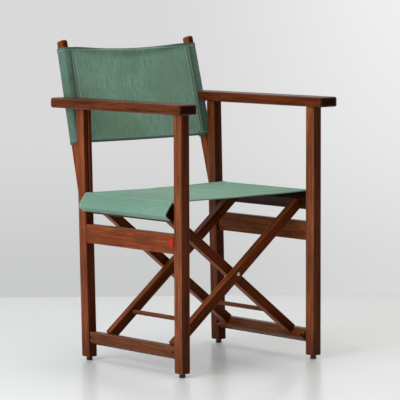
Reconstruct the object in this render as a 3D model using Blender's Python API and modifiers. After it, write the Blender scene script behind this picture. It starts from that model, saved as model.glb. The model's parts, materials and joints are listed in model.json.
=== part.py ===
"""Folding director's chair: two wooden side frames on two pairs of crossed legs.

Metres, +Z up.  The sitter faces -Y, so the sitter's right is -X and left is +X.
The origin is on the floor, under the middle of the chair's bounding box.  The sizes
below that run front to back are taken from midway between the feet.

The chair folds sideways.  Each pair of cross legs carries a seat rail at its top
and a lower rail at its foot.  A lower rail turns on pins in its side frame, the two
pairs turn on bolts where they cross, and the seat rails ride up between the legs.
"""
import math

import bmesh
import bpy
from mathutils import Matrix, Vector

# ---------------------------------------------------------------- general
CLEARANCE = 0.0003          # between pieces that touch
RIGHT, LEFT = -1, 1         # sign of X for the sitter's right and left
SIDES = {"right": RIGHT, "left": LEFT}

# ---------------------------------------------------------------- side frames
FRAME_WIDTH = 0.4765        # over the outer faces of the legs
LEG_THICKNESS = 0.0275      # across the chair
LEG_DEPTH = 0.031           # front to back
FOOT_SPREAD = 0.418         # front leg's front to rear leg's back, at the floor end
FRONT_RAKE = 0.0077         # forward slope of the front legs, rise to run
REAR_RAKE = 0.0187          # backward slope of the rear legs
LEG_BOTTOM = 0.010          # foot end of the wood, on its glide
LEG_EDGE = 0.0022           # rounding of the legs' long edges

ARM_UNDERSIDE = 0.668
ARM_THICKNESS = 0.026
ARM_WIDTH = 0.0635
ARM_INSET = 0.0042          # inner edge, inboard of the legs
ARM_FRONT_OVERHANG = 0.032  # in front of the front leg
ARM_REAR_OVERHANG = 0.077   # behind the rear leg
ARM_FRONT_RADIUS = 0.012
ARM_REAR_RADIUS = 0.014
ARM_EDGE = 0.0055

UPPER_RAIL_HEIGHT = 0.050
UPPER_RAIL_BELOW_SEAT = 0.028   # its top, below the seat rails' lower edges
UPPER_RAIL_THICKNESS = 0.019
RAIL_INSET = 0.0004         # upper rail's outer face, inboard of the legs' faces
RAIL_EDGE = 0.002
TENON_LENGTH = 0.014
TENON_THICKNESS = 0.009
TENON_SHOULDER = 0.008      # above and below the tenon

# ---------------------------------------------------------------- back posts
POST_THICKNESS = 0.019      # across the chair
POST_DEPTH = 0.026
POST_TOP = 0.843            # height of the post's top end on its centre line
POST_LEAN = math.atan(0.245)
POST_TILT = math.radians(1.2)   # towards the middle of the chair
POST_PIN_HEIGHT = 0.459
POST_BELOW_PIN = 0.012      # drop from the pin to the post's lower end
POST_PIN_FORWARD = 0.0070   # pin, in front of the post's centre line
POST_FORWARD = 0.0036       # centre line at the pin, in front of the leg's rear face
POST_EDGE = 0.004
POST_CROWN = 0.006          # rounding of the top's two long corners
SLOT_WIDTH = 0.0065         # sawn down the rear leg for the post's tongue
SLOT_BELOW_POST = 0.011     # bottom of the slot, under the post
POST_PIN_RADIUS = 0.003
POST_PIN_COVER = 0.003      # wood left over the pin on the outer face

# ---------------------------------------------------------------- cross legs
CROSSING_HEIGHT = 0.241
PIVOT_HEIGHT = 0.0625       # of the lower rails' pins, on the legs' centre line
CROSS_LEG_WIDTH = 0.026
CROSS_LEG_THICKNESS = 0.021
CROSS_LEG_EDGE = 0.0018
FRONT_PAIR_BEHIND_LEG = 0.0253  # front pair's front face, behind the front leg's foot
REAR_PAIR_BEFORE_LEG = 0.0268   # rear pair's rear face, in front of the rear leg's foot
PAIR_GAP = 0.0016           # between the two legs of a pair, for the washer
STRETCHER_RADIUS = 0.006
STRETCHER_FROM_PIVOT = 0.108
STRETCHER_SEAT = 0.008      # depth of the dowel's hole in a leg

LOWER_RAIL_RISE = 0.0158    # top of the lower rail, above the pivot
LOWER_RAIL_DROP = 0.0180    # its underside, below the pivot
LOWER_RAIL_OUTER = 0.0117   # its outer face, outboard of the pivot
LOWER_RAIL_CHAMFER = 0.008
LOWER_RAIL_SHOULDER = 0.017     # planed face under the legs, inboard of the pivot
LOWER_RAIL_NOSE = 0.0195    # lower end of the planed face, off the leg's centre line
RAIL_END_PLAY = 0.0015

SEAT_RAIL_REACH = 0.0197    # its outer face on the leg's line, outboard of the leg's centre
SEAT_RAIL_THICKNESS = 0.034
SEAT_RAIL_ABOVE = 0.013     # rail above and below the leg's centre line
SEAT_RAIL_BELOW = 0.028
SEAT_RAIL_EDGE = 0.004
SEAT_RAIL_PLAY = 0.0025     # end of the rail to the leg beside it

# ---------------------------------------------------------------- metal and small pieces
PIVOT_PIN_RADIUS = 0.003
PIVOT_PIN_IN_LEG = 0.018
PIVOT_PIN_IN_RAIL = 0.022
CROSS_DOWEL_RADIUS = 0.0045
CROSS_DOWEL_FROM_END = 0.0062
BOLT_RADIUS = 0.003
BOLT_HEAD_RADIUS = 0.0052
BOLT_HEAD_HEIGHT = 0.0026
NUT_RADIUS = 0.0055
NUT_HEIGHT = 0.005
BOLT_END_IN_NUT = 0.003
WASHER_RADIUS = 0.009
SCREW_RADIUS = 0.0025
SCREW_HEAD_RADIUS = 0.0048
SCREW_LENGTH = 0.060
SCREW_TIP = 0.006
FOOT_DOWEL_RADIUS = 0.004
FOOT_DOWEL_IN_LEG = 0.020
FOOT_DOWEL_IN_RAIL = 0.009
ARM_DOWEL_RADIUS = 0.004
ARM_DOWEL_REAR_RADIUS = 0.0028
ARM_DOWEL_HALF = 0.013
GLIDE_RADIUS = 0.0082
GLIDE_STEM_RADIUS = 0.003
GLIDE_STEM = 0.014
GLIDE_EDGE = 0.0015
TAG_WIDTH = 0.016
TAG_HEIGHT = 0.019
TAG_THICKNESS = 0.0012
TAG_FROM_LEG = 0.001
TAG_TOP_DROP = 0.011        # below the upper rail's top

# ---------------------------------------------------------------- fabric
FABRIC = 0.002              # plain thickness of the canvas
SEAT_WRAP_RETURN = 0.017    # how far the seat canvas turns under its rail
SLEEVE_EASE_ACROSS = 0.0007     # between a post and its sleeve
SLEEVE_EASE_DEPTH = 0.00115
SLEEVE_EDGE = 0.0012
POST_ABOVE_SLEEVE = 0.020
BACK_HEIGHT = 0.251         # of the back canvas, from hem to hem
BACK_PANEL = 0.003
NOTCH_CLEARANCE = 0.0013    # around a sleeve, in the armrest

# ---------------------------------------------------------------- places worked out from the above
LEG_CENTRE = FRAME_WIDTH / 2 - LEG_THICKNESS / 2
LEG_TOP = ARM_UNDERSIDE - CLEARANCE
REST_ANGLE = math.atan2(CROSSING_HEIGHT - PIVOT_HEIGHT, LEG_CENTRE)
PIVOT_TO_CROSSING = math.hypot(CROSSING_HEIGHT - PIVOT_HEIGHT, LEG_CENTRE)
PAIR_HALF = PAIR_GAP / 2 + CROSS_LEG_THICKNESS
FRONT_PAIR = LEG_DEPTH - FOOT_SPREAD / 2 + FRONT_PAIR_BEHIND_LEG + PAIR_HALF
REAR_PAIR = FOOT_SPREAD / 2 - LEG_DEPTH - REAR_PAIR_BEFORE_LEG - PAIR_HALF

# The seat rails' faces, from the crossing along the leg, and the heights of their edges.
SEAT_RAIL_OUTER = (LEG_CENTRE + SEAT_RAIL_REACH) / math.cos(REST_ANGLE)
SEAT_RAIL_INNER = SEAT_RAIL_OUTER - SEAT_RAIL_THICKNESS
SEAT_RAIL_EDGE_HEIGHT = CROSSING_HEIGHT + SEAT_RAIL_INNER * math.sin(REST_ANGLE)
SEAT_RAIL_LOWEST = SEAT_RAIL_EDGE_HEIGHT - SEAT_RAIL_BELOW * math.cos(REST_ANGLE)
UPPER_RAIL_TOP = SEAT_RAIL_LOWEST - UPPER_RAIL_BELOW_SEAT
UPPER_RAIL_BOTTOM = UPPER_RAIL_TOP - UPPER_RAIL_HEIGHT

POST_FOOT = POST_PIN_HEIGHT - POST_BELOW_PIN
SLOT_BOTTOM = POST_FOOT - SLOT_BELOW_POST
SLEEVE_TOP = POST_TOP - POST_ABOVE_SLEEVE
SLEEVE_BOTTOM = SLEEVE_TOP - BACK_HEIGHT
SLEEVE_THICKNESS = POST_THICKNESS + 2 * (FABRIC + SLEEVE_EASE_ACROSS)
SLEEVE_DEPTH = POST_DEPTH + 2 * (FABRIC + SLEEVE_EASE_DEPTH)

ROUND_STEPS = 20            # sides of a round bar
SMALL_ROUND_STEPS = 12
WELD = 1e-6                 # joins the loose caps of an extruded outline
SHARP = math.radians(40)    # edges sharper than this are rounded, and shaded sharp
FLAT = math.radians(0.5)    # neighbouring faces this close to level are one face
ARC_STEP = math.radians(18)     # of a rounded corner


# ================================================================ scene and materials
def clear_scene():
    for obj in list(bpy.data.objects):
        bpy.data.objects.remove(obj)


def make_collection(name):
    collection = bpy.data.collections.new(name)
    bpy.context.scene.collection.children.link(collection)
    return collection


def make_material(name, colour, roughness, metallic=0.0):
    material = bpy.data.materials.new(name)
    material.use_nodes = True
    shader = material.node_tree.nodes["Principled BSDF"]
    shader.inputs["Base Color"].default_value = (*colour, 1.0)
    shader.inputs["Roughness"].default_value = roughness
    shader.inputs["Metallic"].default_value = metallic
    return material


clear_scene()
CHAIR = make_collection("folding_chair")
CUTTERS = make_collection("cutters")

WOOD = make_material("reddish_hardwood", (0.23, 0.085, 0.045), 0.42)
CANVAS = make_material("green_canvas", (0.15, 0.24, 0.18), 0.9)
BRASS = make_material("brass", (0.72, 0.55, 0.28), 0.3, 1.0)
STEEL = make_material("blackened_steel", (0.03, 0.03, 0.03), 0.45, 1.0)
RUBBER = make_material("black_plastic", (0.015, 0.015, 0.015), 0.55)
RED = make_material("red_tag", (0.36, 0.01, 0.012), 0.5)


# ================================================================ modelling helpers
def link(obj, material=None, parent=None):
    """Put a piece in the chair's collection, keeping its place under its parent."""
    CHAIR.objects.link(obj)
    if material:
        obj.data.materials.append(material)
    if parent:
        obj.parent = parent
        obj.matrix_parent_inverse = parent.matrix_basis.inverted()
    return obj


def make_pivot(name, location):
    """An empty on a joint's axis, which the pieces of one moving group hang on."""
    empty = bpy.data.objects.new(name, None)
    empty.location = location
    empty.empty_display_size = 0.03
    CHAIR.objects.link(empty)
    return empty


def mesh_object(name, bm):
    mesh = bpy.data.meshes.new(name)
    bm.to_mesh(mesh)
    bm.free()
    return bpy.data.objects.new(name, mesh)


def box(name, low, high, turn=None):
    """A box between two corners; turn is applied about the world's origin."""
    low, high = Vector(low), Vector(high)
    bm = bmesh.new()
    bmesh.ops.create_cube(bm, size=1.0)
    bmesh.ops.scale(bm, vec=high - low, verts=bm.verts)
    obj = mesh_object(name, bm)
    place = Matrix.Translation((low + high) / 2)
    obj.matrix_basis = turn @ place if turn else place
    return obj


AXES = {
    "x": Matrix.Rotation(math.radians(90), 4, "Y"),
    "y": Matrix.Rotation(math.radians(-90), 4, "X"),
    "z": Matrix.Identity(4),
}


def cylinder(name, radius, start, length, axis="z", turn=None, steps=ROUND_STEPS):
    """A round bar from start, running the given length along an axis."""
    bm = bmesh.new()
    bmesh.ops.create_cone(bm, cap_ends=True, segments=steps, radius1=radius,
                          radius2=radius, depth=length)
    bmesh.ops.translate(bm, verts=bm.verts, vec=(0, 0, length / 2))
    obj = mesh_object(name, bm)
    obj.data.shade_smooth()
    obj.data.set_sharp_from_angle(angle=SHARP)
    place = Matrix.Translation(start) @ AXES[axis]
    obj.matrix_basis = turn @ place if turn else place
    return obj


def outline_solid(name, points, thickness, place):
    """A flat outline in local XY, thick along local Z, as a closed mesh."""
    curve = bpy.data.curves.new(name, "CURVE")
    curve.dimensions = "2D"
    curve.fill_mode = "BOTH"
    curve.extrude = thickness / 2
    spline = curve.splines.new("POLY")
    spline.points.add(len(points) - 1)
    for point, (u, v) in zip(spline.points, points):
        point.co = (u, v, 0, 1)
    spline.use_cyclic_u = True
    flat = bpy.data.objects.new(name + "_outline", curve)
    CUTTERS.objects.link(flat)
    flat.matrix_basis = place
    bpy.context.view_layer.update()
    mesh = bpy.data.meshes.new_from_object(flat.evaluated_get(bpy.context.evaluated_depsgraph_get()))
    mesh.name = name
    bm = bmesh.new()
    bm.from_mesh(mesh)
    bmesh.ops.remove_doubles(bm, verts=bm.verts, dist=WELD)
    bmesh.ops.dissolve_limit(bm, angle_limit=FLAT, verts=bm.verts, edges=bm.edges)
    bmesh.ops.recalc_face_normals(bm, faces=bm.faces)
    bm.to_mesh(mesh)
    bm.free()
    obj = bpy.data.objects.new(name, mesh)
    obj.matrix_basis = flat.matrix_world
    bpy.data.objects.remove(flat)
    bpy.data.curves.remove(curve)
    return obj


# Outlines drawn in the YZ plane run through the chair's side, those in XZ across its front.
IN_YZ = Matrix(((0, 0, 1, 0), (1, 0, 0, 0), (0, 1, 0, 0), (0, 0, 0, 1)))
IN_XZ = Matrix.Rotation(math.radians(90), 4, "X")


def turned(name, profile, place, steps=ROUND_STEPS):
    """A turned piece: a (radius, height) profile from top to bottom, round local Z."""
    mesh = bpy.data.meshes.new(name)
    points = [(radius, 0, height) for radius, height in profile]
    edges = [(i, i + 1) for i in range(len(points) - 1)]
    mesh.from_pydata(points, edges, [])
    obj = bpy.data.objects.new(name, mesh)
    screw = obj.modifiers.new("turn", "SCREW")
    screw.axis = "Z"
    screw.angle = math.tau
    screw.steps = steps
    screw.render_steps = steps
    screw.use_merge_vertices = True
    screw.merge_threshold = WELD
    screw.use_smooth_shade = True
    obj.matrix_basis = place
    return obj


def round_edges(obj, width, segments=2, on_arcs=False):
    """Round the sharp edges; on_arcs lets the width pass the short edges of an arc."""
    bevel = obj.modifiers.new("edges", "BEVEL")
    bevel.width = width
    bevel.segments = segments
    bevel.limit_method = "ANGLE"
    bevel.angle_limit = SHARP
    bevel.use_clamp_overlap = not on_arcs
    return obj


def as_cutter(obj):
    CUTTERS.objects.link(obj)
    obj.hide_render = True
    obj.display_type = "WIRE"
    return obj


def cut(target, cutter, operation="DIFFERENCE"):
    """Cut (or join) target with a cutter, which is kept as a wire guide."""
    if not cutter.users_collection:
        as_cutter(cutter)
    boolean = target.modifiers.new(cutter.name, "BOOLEAN")
    boolean.operation = operation
    boolean.object = cutter
    return target


def rounded(corners):
    """Outline through (u, v, radius) corners, each rounded by an arc."""
    points = []
    count = len(corners)
    for i, (u, v, radius) in enumerate(corners):
        here = Vector((u, v))
        before = Vector(corners[i - 1][:2])
        after = Vector(corners[(i + 1) % count][:2])
        if radius == 0:
            points.append((u, v))
            continue
        to_before = (before - here).normalized()
        to_after = (after - here).normalized()
        half = to_before.angle(to_after) / 2
        centre = here + (to_before + to_after).normalized() * radius / math.sin(half)
        first = here + to_before * radius / math.tan(half) - centre
        sweep = math.pi - 2 * half
        side = 1 if to_before.cross(to_after) < 0 else -1
        steps = max(2, round(sweep / ARC_STEP))
        for k in range(steps + 1):
            turn = Matrix.Rotation(side * sweep * k / steps, 2)
            points.append(tuple(centre + turn @ first))
    return points


# ================================================================ where the legs' faces are
def front_leg_front(z):
    return -FOOT_SPREAD / 2 - FRONT_RAKE * (z - LEG_BOTTOM)


def front_leg_rear(z):
    return front_leg_front(z) + LEG_DEPTH


def rear_leg_rear(z):
    return FOOT_SPREAD / 2 + REAR_RAKE * (z - LEG_BOTTOM)


def rear_leg_front(z):
    return rear_leg_rear(z) - LEG_DEPTH


def between_legs(low, high, gap):
    """Side view outline of a rail between the legs, from height low to high."""
    return [(front_leg_rear(low) + gap, low), (rear_leg_front(low) - gap, low),
            (rear_leg_front(high) - gap, high), (front_leg_rear(high) + gap, high)]


def at_side(side, offset=0.0):
    """Move an outline in YZ out to a side frame's leg centre line."""
    return Matrix.Translation((side * (LEG_CENTRE + offset), 0, 0)) @ IN_YZ


def post_place(side):
    """Frame of a back post: origin on its centre line beside the pin, Z up the post."""
    origin = Vector((side * LEG_CENTRE, rear_leg_rear(POST_PIN_HEIGHT) - POST_FORWARD,
                     POST_PIN_HEIGHT))
    tilt = Matrix.Rotation(-side * POST_TILT, 4, "Y")
    lean = Matrix.Rotation(-POST_LEAN, 4, "X")
    return Matrix.Translation(origin) @ tilt @ lean


def along_post(height):
    """Distance up the post's centre line from the pin to a height above the floor."""
    return (height - POST_PIN_HEIGHT) / (math.cos(POST_LEAN) * math.cos(POST_TILT))


def cross_place(rise):
    """Frame of a cross pair: origin at the crossing, X up the leg, Z square to it.

    rise is LEFT for the legs that climb to the sitter's left, RIGHT for the others.
    """
    turn = Matrix.Rotation(-REST_ANGLE, 4, "Y")
    if rise == RIGHT:
        turn = Matrix.Rotation(math.pi, 4, "Z") @ turn
    return Matrix.Translation((0, 0, CROSSING_HEIGHT)) @ turn


# ================================================================ side frames
def front_leg(name, side, parent):
    low, high = LEG_BOTTOM, LEG_TOP
    outline = [(front_leg_front(low), low), (front_leg_rear(low), low),
               (front_leg_rear(high), high), (front_leg_front(high), high)]
    leg = outline_solid(name, outline, LEG_THICKNESS, at_side(side))
    round_edges(leg, LEG_EDGE)
    return link(leg, WOOD, parent)


def rear_leg(name, side, parent):
    low, high = LEG_BOTTOM, LEG_TOP
    outline = [(rear_leg_front(low), low), (rear_leg_rear(low), low),
               (rear_leg_rear(high), high), (rear_leg_front(high), high)]
    leg = outline_solid(name, outline, LEG_THICKNESS, at_side(side))
    round_edges(leg, LEG_EDGE)
    middle = side * LEG_CENTRE
    through = LEG_DEPTH
    slot = box(name + "_slot",
               (middle - SLOT_WIDTH / 2, rear_leg_front(high) - through, SLOT_BOTTOM),
               (middle + SLOT_WIDTH / 2, rear_leg_rear(high) + through, high + through))
    cut(leg, slot)
    return link(leg, WOOD, parent)


def upper_rail(name, side, legs, parent):
    """Rail tenoned into both legs, which take its mortises."""
    low, high = UPPER_RAIL_BOTTOM, UPPER_RAIL_TOP
    offset = (LEG_THICKNESS - UPPER_RAIL_THICKNESS) / 2 - RAIL_INSET
    rail = outline_solid(name, between_legs(low, high, CLEARANCE), UPPER_RAIL_THICKNESS,
                         at_side(side, offset))
    round_edges(rail, RAIL_EDGE)
    middle = side * (LEG_CENTRE + offset)
    grow = Vector((CLEARANCE,) * 3)
    for label, where, face in (("front", -1, front_leg_rear), ("rear", 1, rear_leg_front)):
        inside = face(low) - where * 3 * RAIL_EDGE
        tip = face(high) + where * TENON_LENGTH
        first = Vector((middle - TENON_THICKNESS / 2, min(inside, tip), low + TENON_SHOULDER))
        last = Vector((middle + TENON_THICKNESS / 2, max(inside, tip), high - TENON_SHOULDER))
        cut(rail, box(f"{name}_tenon_{label}", first, last), "UNION")
        cut(legs[label], box(f"{name}_mortise_{label}", first - grow, last + grow))
    return link(rail, WOOD, parent)


def armrest(name, side, parent):
    inner = side * (LEG_CENTRE - LEG_THICKNESS / 2 - ARM_INSET)
    outer = inner + side * ARM_WIDTH
    front = front_leg_front(LEG_TOP) - ARM_FRONT_OVERHANG
    rear = rear_leg_rear(LEG_TOP) + ARM_REAR_OVERHANG
    corners = [(inner, front, ARM_FRONT_RADIUS), (outer, front, ARM_FRONT_RADIUS),
               (outer, rear, ARM_REAR_RADIUS), (inner, rear, ARM_REAR_RADIUS / 2)]
    middle = Matrix.Translation((0, 0, ARM_UNDERSIDE + ARM_THICKNESS / 2))
    arm = outline_solid(name, rounded(corners), ARM_THICKNESS, middle)
    round_edges(arm, ARM_EDGE, 4, on_arcs=True)
    room = NOTCH_CLEARANCE
    reach = ARM_WIDTH
    half_x, half_y = SLEEVE_THICKNESS / 2 + room, SLEEVE_DEPTH / 2 + room
    low_x, high_x = (-reach, half_x) if side == LEFT else (-half_x, reach)
    notch = box(name + "_notch",
                (low_x, -half_y, along_post(ARM_UNDERSIDE) - reach),
                (high_x, half_y, along_post(ARM_UNDERSIDE + ARM_THICKNESS) + reach),
                post_place(side))
    cut(arm, notch)
    return link(arm, WOOD, parent)


def back_post(name, side, parent):
    """Post with a thin tongue where it enters the rear leg's slot."""
    half, foot, top = POST_THICKNESS / 2, along_post(POST_FOOT), along_post(POST_TOP)
    outline = rounded([(-half, foot, 0), (half, foot, 0), (half, top, POST_CROWN),
                       (-half, top, POST_CROWN)])
    post = outline_solid(name, outline, POST_DEPTH, post_place(side) @ IN_XZ)
    round_edges(post, POST_EDGE, 3, on_arcs=True)
    tongue = SLOT_WIDTH - 2 * CLEARANCE
    cheek = POST_THICKNESS
    low, high = POST_FOOT - LEG_DEPTH, ARM_UNDERSIDE
    shoulder = [(rear_leg_front(low) - LEG_DEPTH, low), (rear_leg_rear(low) + CLEARANCE, low),
                (rear_leg_rear(high) + CLEARANCE, high), (rear_leg_front(high) - LEG_DEPTH, high)]
    for label, way in (("outer", 1), ("inner", -1)):
        place = at_side(side, way * (tongue + cheek) / 2)
        cut(post, outline_solid(f"{name}_{label}_shoulder", shoulder, cheek, place))
    return link(post, WOOD, parent)


def post_pin(name, side, leg, post, parent):
    """Pin across the rear leg and through the post's tongue."""
    y = rear_leg_rear(POST_PIN_HEIGHT) - POST_FORWARD - POST_PIN_FORWARD
    length = LEG_THICKNESS - POST_PIN_COVER
    middle = side * (LEG_CENTRE - POST_PIN_COVER / 2)
    pin = cylinder(name, POST_PIN_RADIUS, (middle - length / 2, y, POST_PIN_HEIGHT), length, "x")
    # The bore also runs out of the leg's inner face.
    middle -= side * LEG_THICKNESS / 2
    length += LEG_THICKNESS + 2 * CLEARANCE
    bore = cylinder(name + "_bore", POST_PIN_RADIUS + CLEARANCE,
                    (middle - length / 2, y, POST_PIN_HEIGHT), length, "x")
    cut(leg, bore)
    cut(post, bore)
    return link(pin, STEEL, parent)


def arm_dowels(side_name, side, legs, arm, parent):
    """Dowels that stand in the tops of the legs and enter the armrest."""
    cheek = (LEG_THICKNESS - SLOT_WIDTH) / 2
    outer_cheek = LEG_CENTRE + SLOT_WIDTH / 2 + cheek / 2
    spots = {
        "front": (LEG_CENTRE, (front_leg_front(LEG_TOP) + front_leg_rear(LEG_TOP)) / 2,
                  ARM_DOWEL_RADIUS),
        "rear": (outer_cheek, (rear_leg_front(LEG_TOP) + rear_leg_rear(LEG_TOP)) / 2,
                 ARM_DOWEL_REAR_RADIUS),
    }
    for label, (x, y, radius) in spots.items():
        name = f"arm_dowel_{label}_{side_name}"
        base = (side * x, y, ARM_UNDERSIDE - ARM_DOWEL_HALF)
        dowel = cylinder(name, radius, base, 2 * ARM_DOWEL_HALF, "z", steps=SMALL_ROUND_STEPS)
        bore_base = (side * x, y, ARM_UNDERSIDE - ARM_DOWEL_HALF - CLEARANCE)
        bore = cylinder(name + "_bore", radius + CLEARANCE, bore_base,
                        2 * (ARM_DOWEL_HALF + CLEARANCE), "z", steps=SMALL_ROUND_STEPS)
        cut(legs[label], bore)
        cut(arm, bore)
        link(dowel, WOOD, parent)


def glide(name, side, leg, y, parent):
    """Round foot whose stem is driven into the end of a leg."""
    top = LEG_BOTTOM - CLEARANCE
    profile = [(0, top + GLIDE_STEM), (GLIDE_STEM_RADIUS, top + GLIDE_STEM),
               (GLIDE_STEM_RADIUS, top), (GLIDE_RADIUS, top),
               (GLIDE_RADIUS, GLIDE_EDGE), (GLIDE_RADIUS - GLIDE_EDGE, 0), (0, 0)]
    foot = turned(name, profile, Matrix.Translation((side * LEG_CENTRE, y, 0)))
    bore = cylinder(name + "_bore", GLIDE_STEM_RADIUS + CLEARANCE,
                    (side * LEG_CENTRE, y, 0), top + GLIDE_STEM + CLEARANCE)
    cut(leg, bore)
    return link(foot, RUBBER, parent)


def pivot_pin(name, side, leg, rail, where, parent):
    """Pin from a leg into the end of a lower rail, where the rail turns."""
    face = front_leg_rear if where < 0 else rear_leg_front
    y_face = face(PIVOT_HEIGHT)
    deep = y_face + where * PIVOT_PIN_IN_LEG
    in_rail = y_face - where * (RAIL_END_PLAY + PIVOT_PIN_IN_RAIL)
    start, end = min(deep, in_rail), max(deep, in_rail)
    x = side * LEG_CENTRE
    pin = cylinder(name, PIVOT_PIN_RADIUS, (x, start, PIVOT_HEIGHT), end - start, "y")
    bore = cylinder(name + "_bore", PIVOT_PIN_RADIUS + CLEARANCE,
                    (x, start - CLEARANCE, PIVOT_HEIGHT), end - start + 2 * CLEARANCE, "y")
    cut(leg, bore)
    cut(rail, bore)
    link(pin, STEEL, parent)
    return bore


def red_tag(parent):
    """Plain cloth tag on the right upper rail, beside the front leg."""
    top = UPPER_RAIL_TOP - TAG_TOP_DROP
    y = front_leg_rear(top) + TAG_FROM_LEG
    face = -(FRAME_WIDTH / 2 - RAIL_INSET) - CLEARANCE
    tag = box("red_tag", (face - TAG_THICKNESS, y, top - TAG_HEIGHT),
              (face, y + TAG_WIDTH, top))
    return link(tag, RED, parent)


# ================================================================ cross frames
def leg_band(pair, rise):
    """Front and rear faces of a cross leg: the ones that climb left are in front."""
    if rise == LEFT:
        rear = pair - PAIR_GAP / 2
        return rear - CROSS_LEG_THICKNESS, rear
    front = pair + PAIR_GAP / 2
    return front, front + CROSS_LEG_THICKNESS


def local_y(rise, low, high):
    """The frame of the legs that climb right is turned half round, so Y is reversed."""
    return (low, high) if rise == LEFT else (-high, -low)


def cross_leg(name, rise, pair, parent):
    low, high = local_y(rise, *leg_band(pair, rise))
    foot = -(PIVOT_TO_CROSSING - LOWER_RAIL_SHOULDER - CLEARANCE)
    top = SEAT_RAIL_INNER - CLEARANCE
    half = CROSS_LEG_WIDTH / 2
    leg = box(name, (foot, low, -half), (top, high, half), cross_place(rise))
    round_edges(leg, CROSS_LEG_EDGE)
    return link(leg, WOOD, parent)


def seat_rail(name, rise, parent):
    """Rail across the tops of two cross legs, square to them."""
    height = SEAT_RAIL_EDGE_HEIGHT
    low, high = local_y(rise, front_leg_rear(height) + SEAT_RAIL_PLAY,
                        rear_leg_front(height) - SEAT_RAIL_PLAY)
    rail = box(name, (SEAT_RAIL_INNER, low, -SEAT_RAIL_BELOW),
               (SEAT_RAIL_OUTER, high, SEAT_RAIL_ABOVE), cross_place(rise))
    round_edges(rail, SEAT_RAIL_EDGE, 3)
    return link(rail, WOOD, parent)


def lower_rail_outline():
    """Section of the left lower rail about its pivot, X outwards.

    Its inner face is planed square to the cross legs that stand on it.
    """
    along = Vector((-math.cos(REST_ANGLE), math.sin(REST_ANGLE)))
    across = Vector((math.sin(REST_ANGLE), math.cos(REST_ANGLE)))
    foot = along * LOWER_RAIL_SHOULDER
    nose = foot - across * LOWER_RAIL_NOSE
    brow = foot + across * (LOWER_RAIL_RISE - foot.y) / across.y
    heel = nose - along * (LOWER_RAIL_DROP + nose.y) / along.y
    outer, drop, chamfer = LOWER_RAIL_OUTER, -LOWER_RAIL_DROP, LOWER_RAIL_CHAMFER
    return [tuple(nose), tuple(heel), (outer - chamfer, drop), (outer, drop + chamfer),
            (outer, LOWER_RAIL_RISE), tuple(brow)]


def lower_rail(name, side, parent):
    front = front_leg_rear(PIVOT_HEIGHT) + RAIL_END_PLAY
    rear = rear_leg_front(PIVOT_HEIGHT - LOWER_RAIL_DROP) - RAIL_END_PLAY
    outline = [(side * (LEG_CENTRE + x), PIVOT_HEIGHT + z) for x, z in lower_rail_outline()]
    place = Matrix.Translation((0, (front + rear) / 2, 0)) @ IN_XZ
    rail = outline_solid(name, outline, rear - front, place)
    round_edges(rail, RAIL_EDGE)
    return link(rail, WOOD, parent), front, rear


def cross_dowel(name, side, rail, pin_bore, y, parent):
    """Barrel nut across a lower rail, bored for the pin."""
    outer = LEG_CENTRE + LOWER_RAIL_OUTER
    length = LOWER_RAIL_OUTER + CROSS_DOWEL_RADIUS
    start = side * outer if side == RIGHT else outer - length
    nut = cylinder(name, CROSS_DOWEL_RADIUS, (start, y, PIVOT_HEIGHT), length, "x")
    cut(nut, pin_bore)
    reach = LOWER_RAIL_OUTER + LEG_THICKNESS
    bore = cylinder(name + "_bore", CROSS_DOWEL_RADIUS + CLEARANCE,
                    (side * LEG_CENTRE - reach, y, PIVOT_HEIGHT), 2 * reach, "x")
    cut(rail, bore)
    return link(nut, STEEL, parent)


def stretcher(name, rise, legs, parent):
    """Round bar low between the front and rear legs of one cross frame."""
    front = leg_band(FRONT_PAIR, rise)[1] - STRETCHER_SEAT
    rear = leg_band(REAR_PAIR, rise)[0] + STRETCHER_SEAT
    low, high = local_y(rise, front, rear)
    along = -(PIVOT_TO_CROSSING - STRETCHER_FROM_PIVOT)
    place = cross_place(rise)
    bar = cylinder(name, STRETCHER_RADIUS, (along, low, 0), high - low, "y", place)
    bore = cylinder(name + "_bore", STRETCHER_RADIUS + CLEARANCE,
                    (along, low - CLEARANCE, 0), high - low + 2 * CLEARANCE, "y", place)
    for leg in legs:
        cut(leg, bore)
    return link(bar, WOOD, parent)


def seat_rail_screw(name, rise, pair, rail, leg, parent):
    """Countersunk screw through the seat rail into the end of a cross leg."""
    y = sum(local_y(rise, *leg_band(pair, rise))) / 2
    gap = CLEARANCE
    taper = SCREW_HEAD_RADIUS - SCREW_RADIUS
    clear = SCREW_HEAD_RADIUS       # the bore runs on out of the rail's face
    place = cross_place(rise) @ Matrix.Translation((SEAT_RAIL_OUTER - 2 * gap, y, 0)) @ AXES["x"]
    profile = [(0, 0), (SCREW_HEAD_RADIUS, 0), (SCREW_RADIUS, -taper),
               (SCREW_RADIUS, SCREW_TIP - SCREW_LENGTH), (0, -SCREW_LENGTH)]
    screw = turned(name, profile, place, SMALL_ROUND_STEPS)
    hole = [(0, clear), (SCREW_HEAD_RADIUS + gap, clear), (SCREW_HEAD_RADIUS + gap, -gap),
            (SCREW_RADIUS + gap, -taper - gap), (SCREW_RADIUS + gap, SCREW_TIP - SCREW_LENGTH),
            (0, -SCREW_LENGTH - 2 * gap)]
    bore = turned(name + "_bore", hole, place, SMALL_ROUND_STEPS)
    cut(rail, bore)
    cut(leg, bore)
    return link(screw, STEEL, parent)


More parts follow.
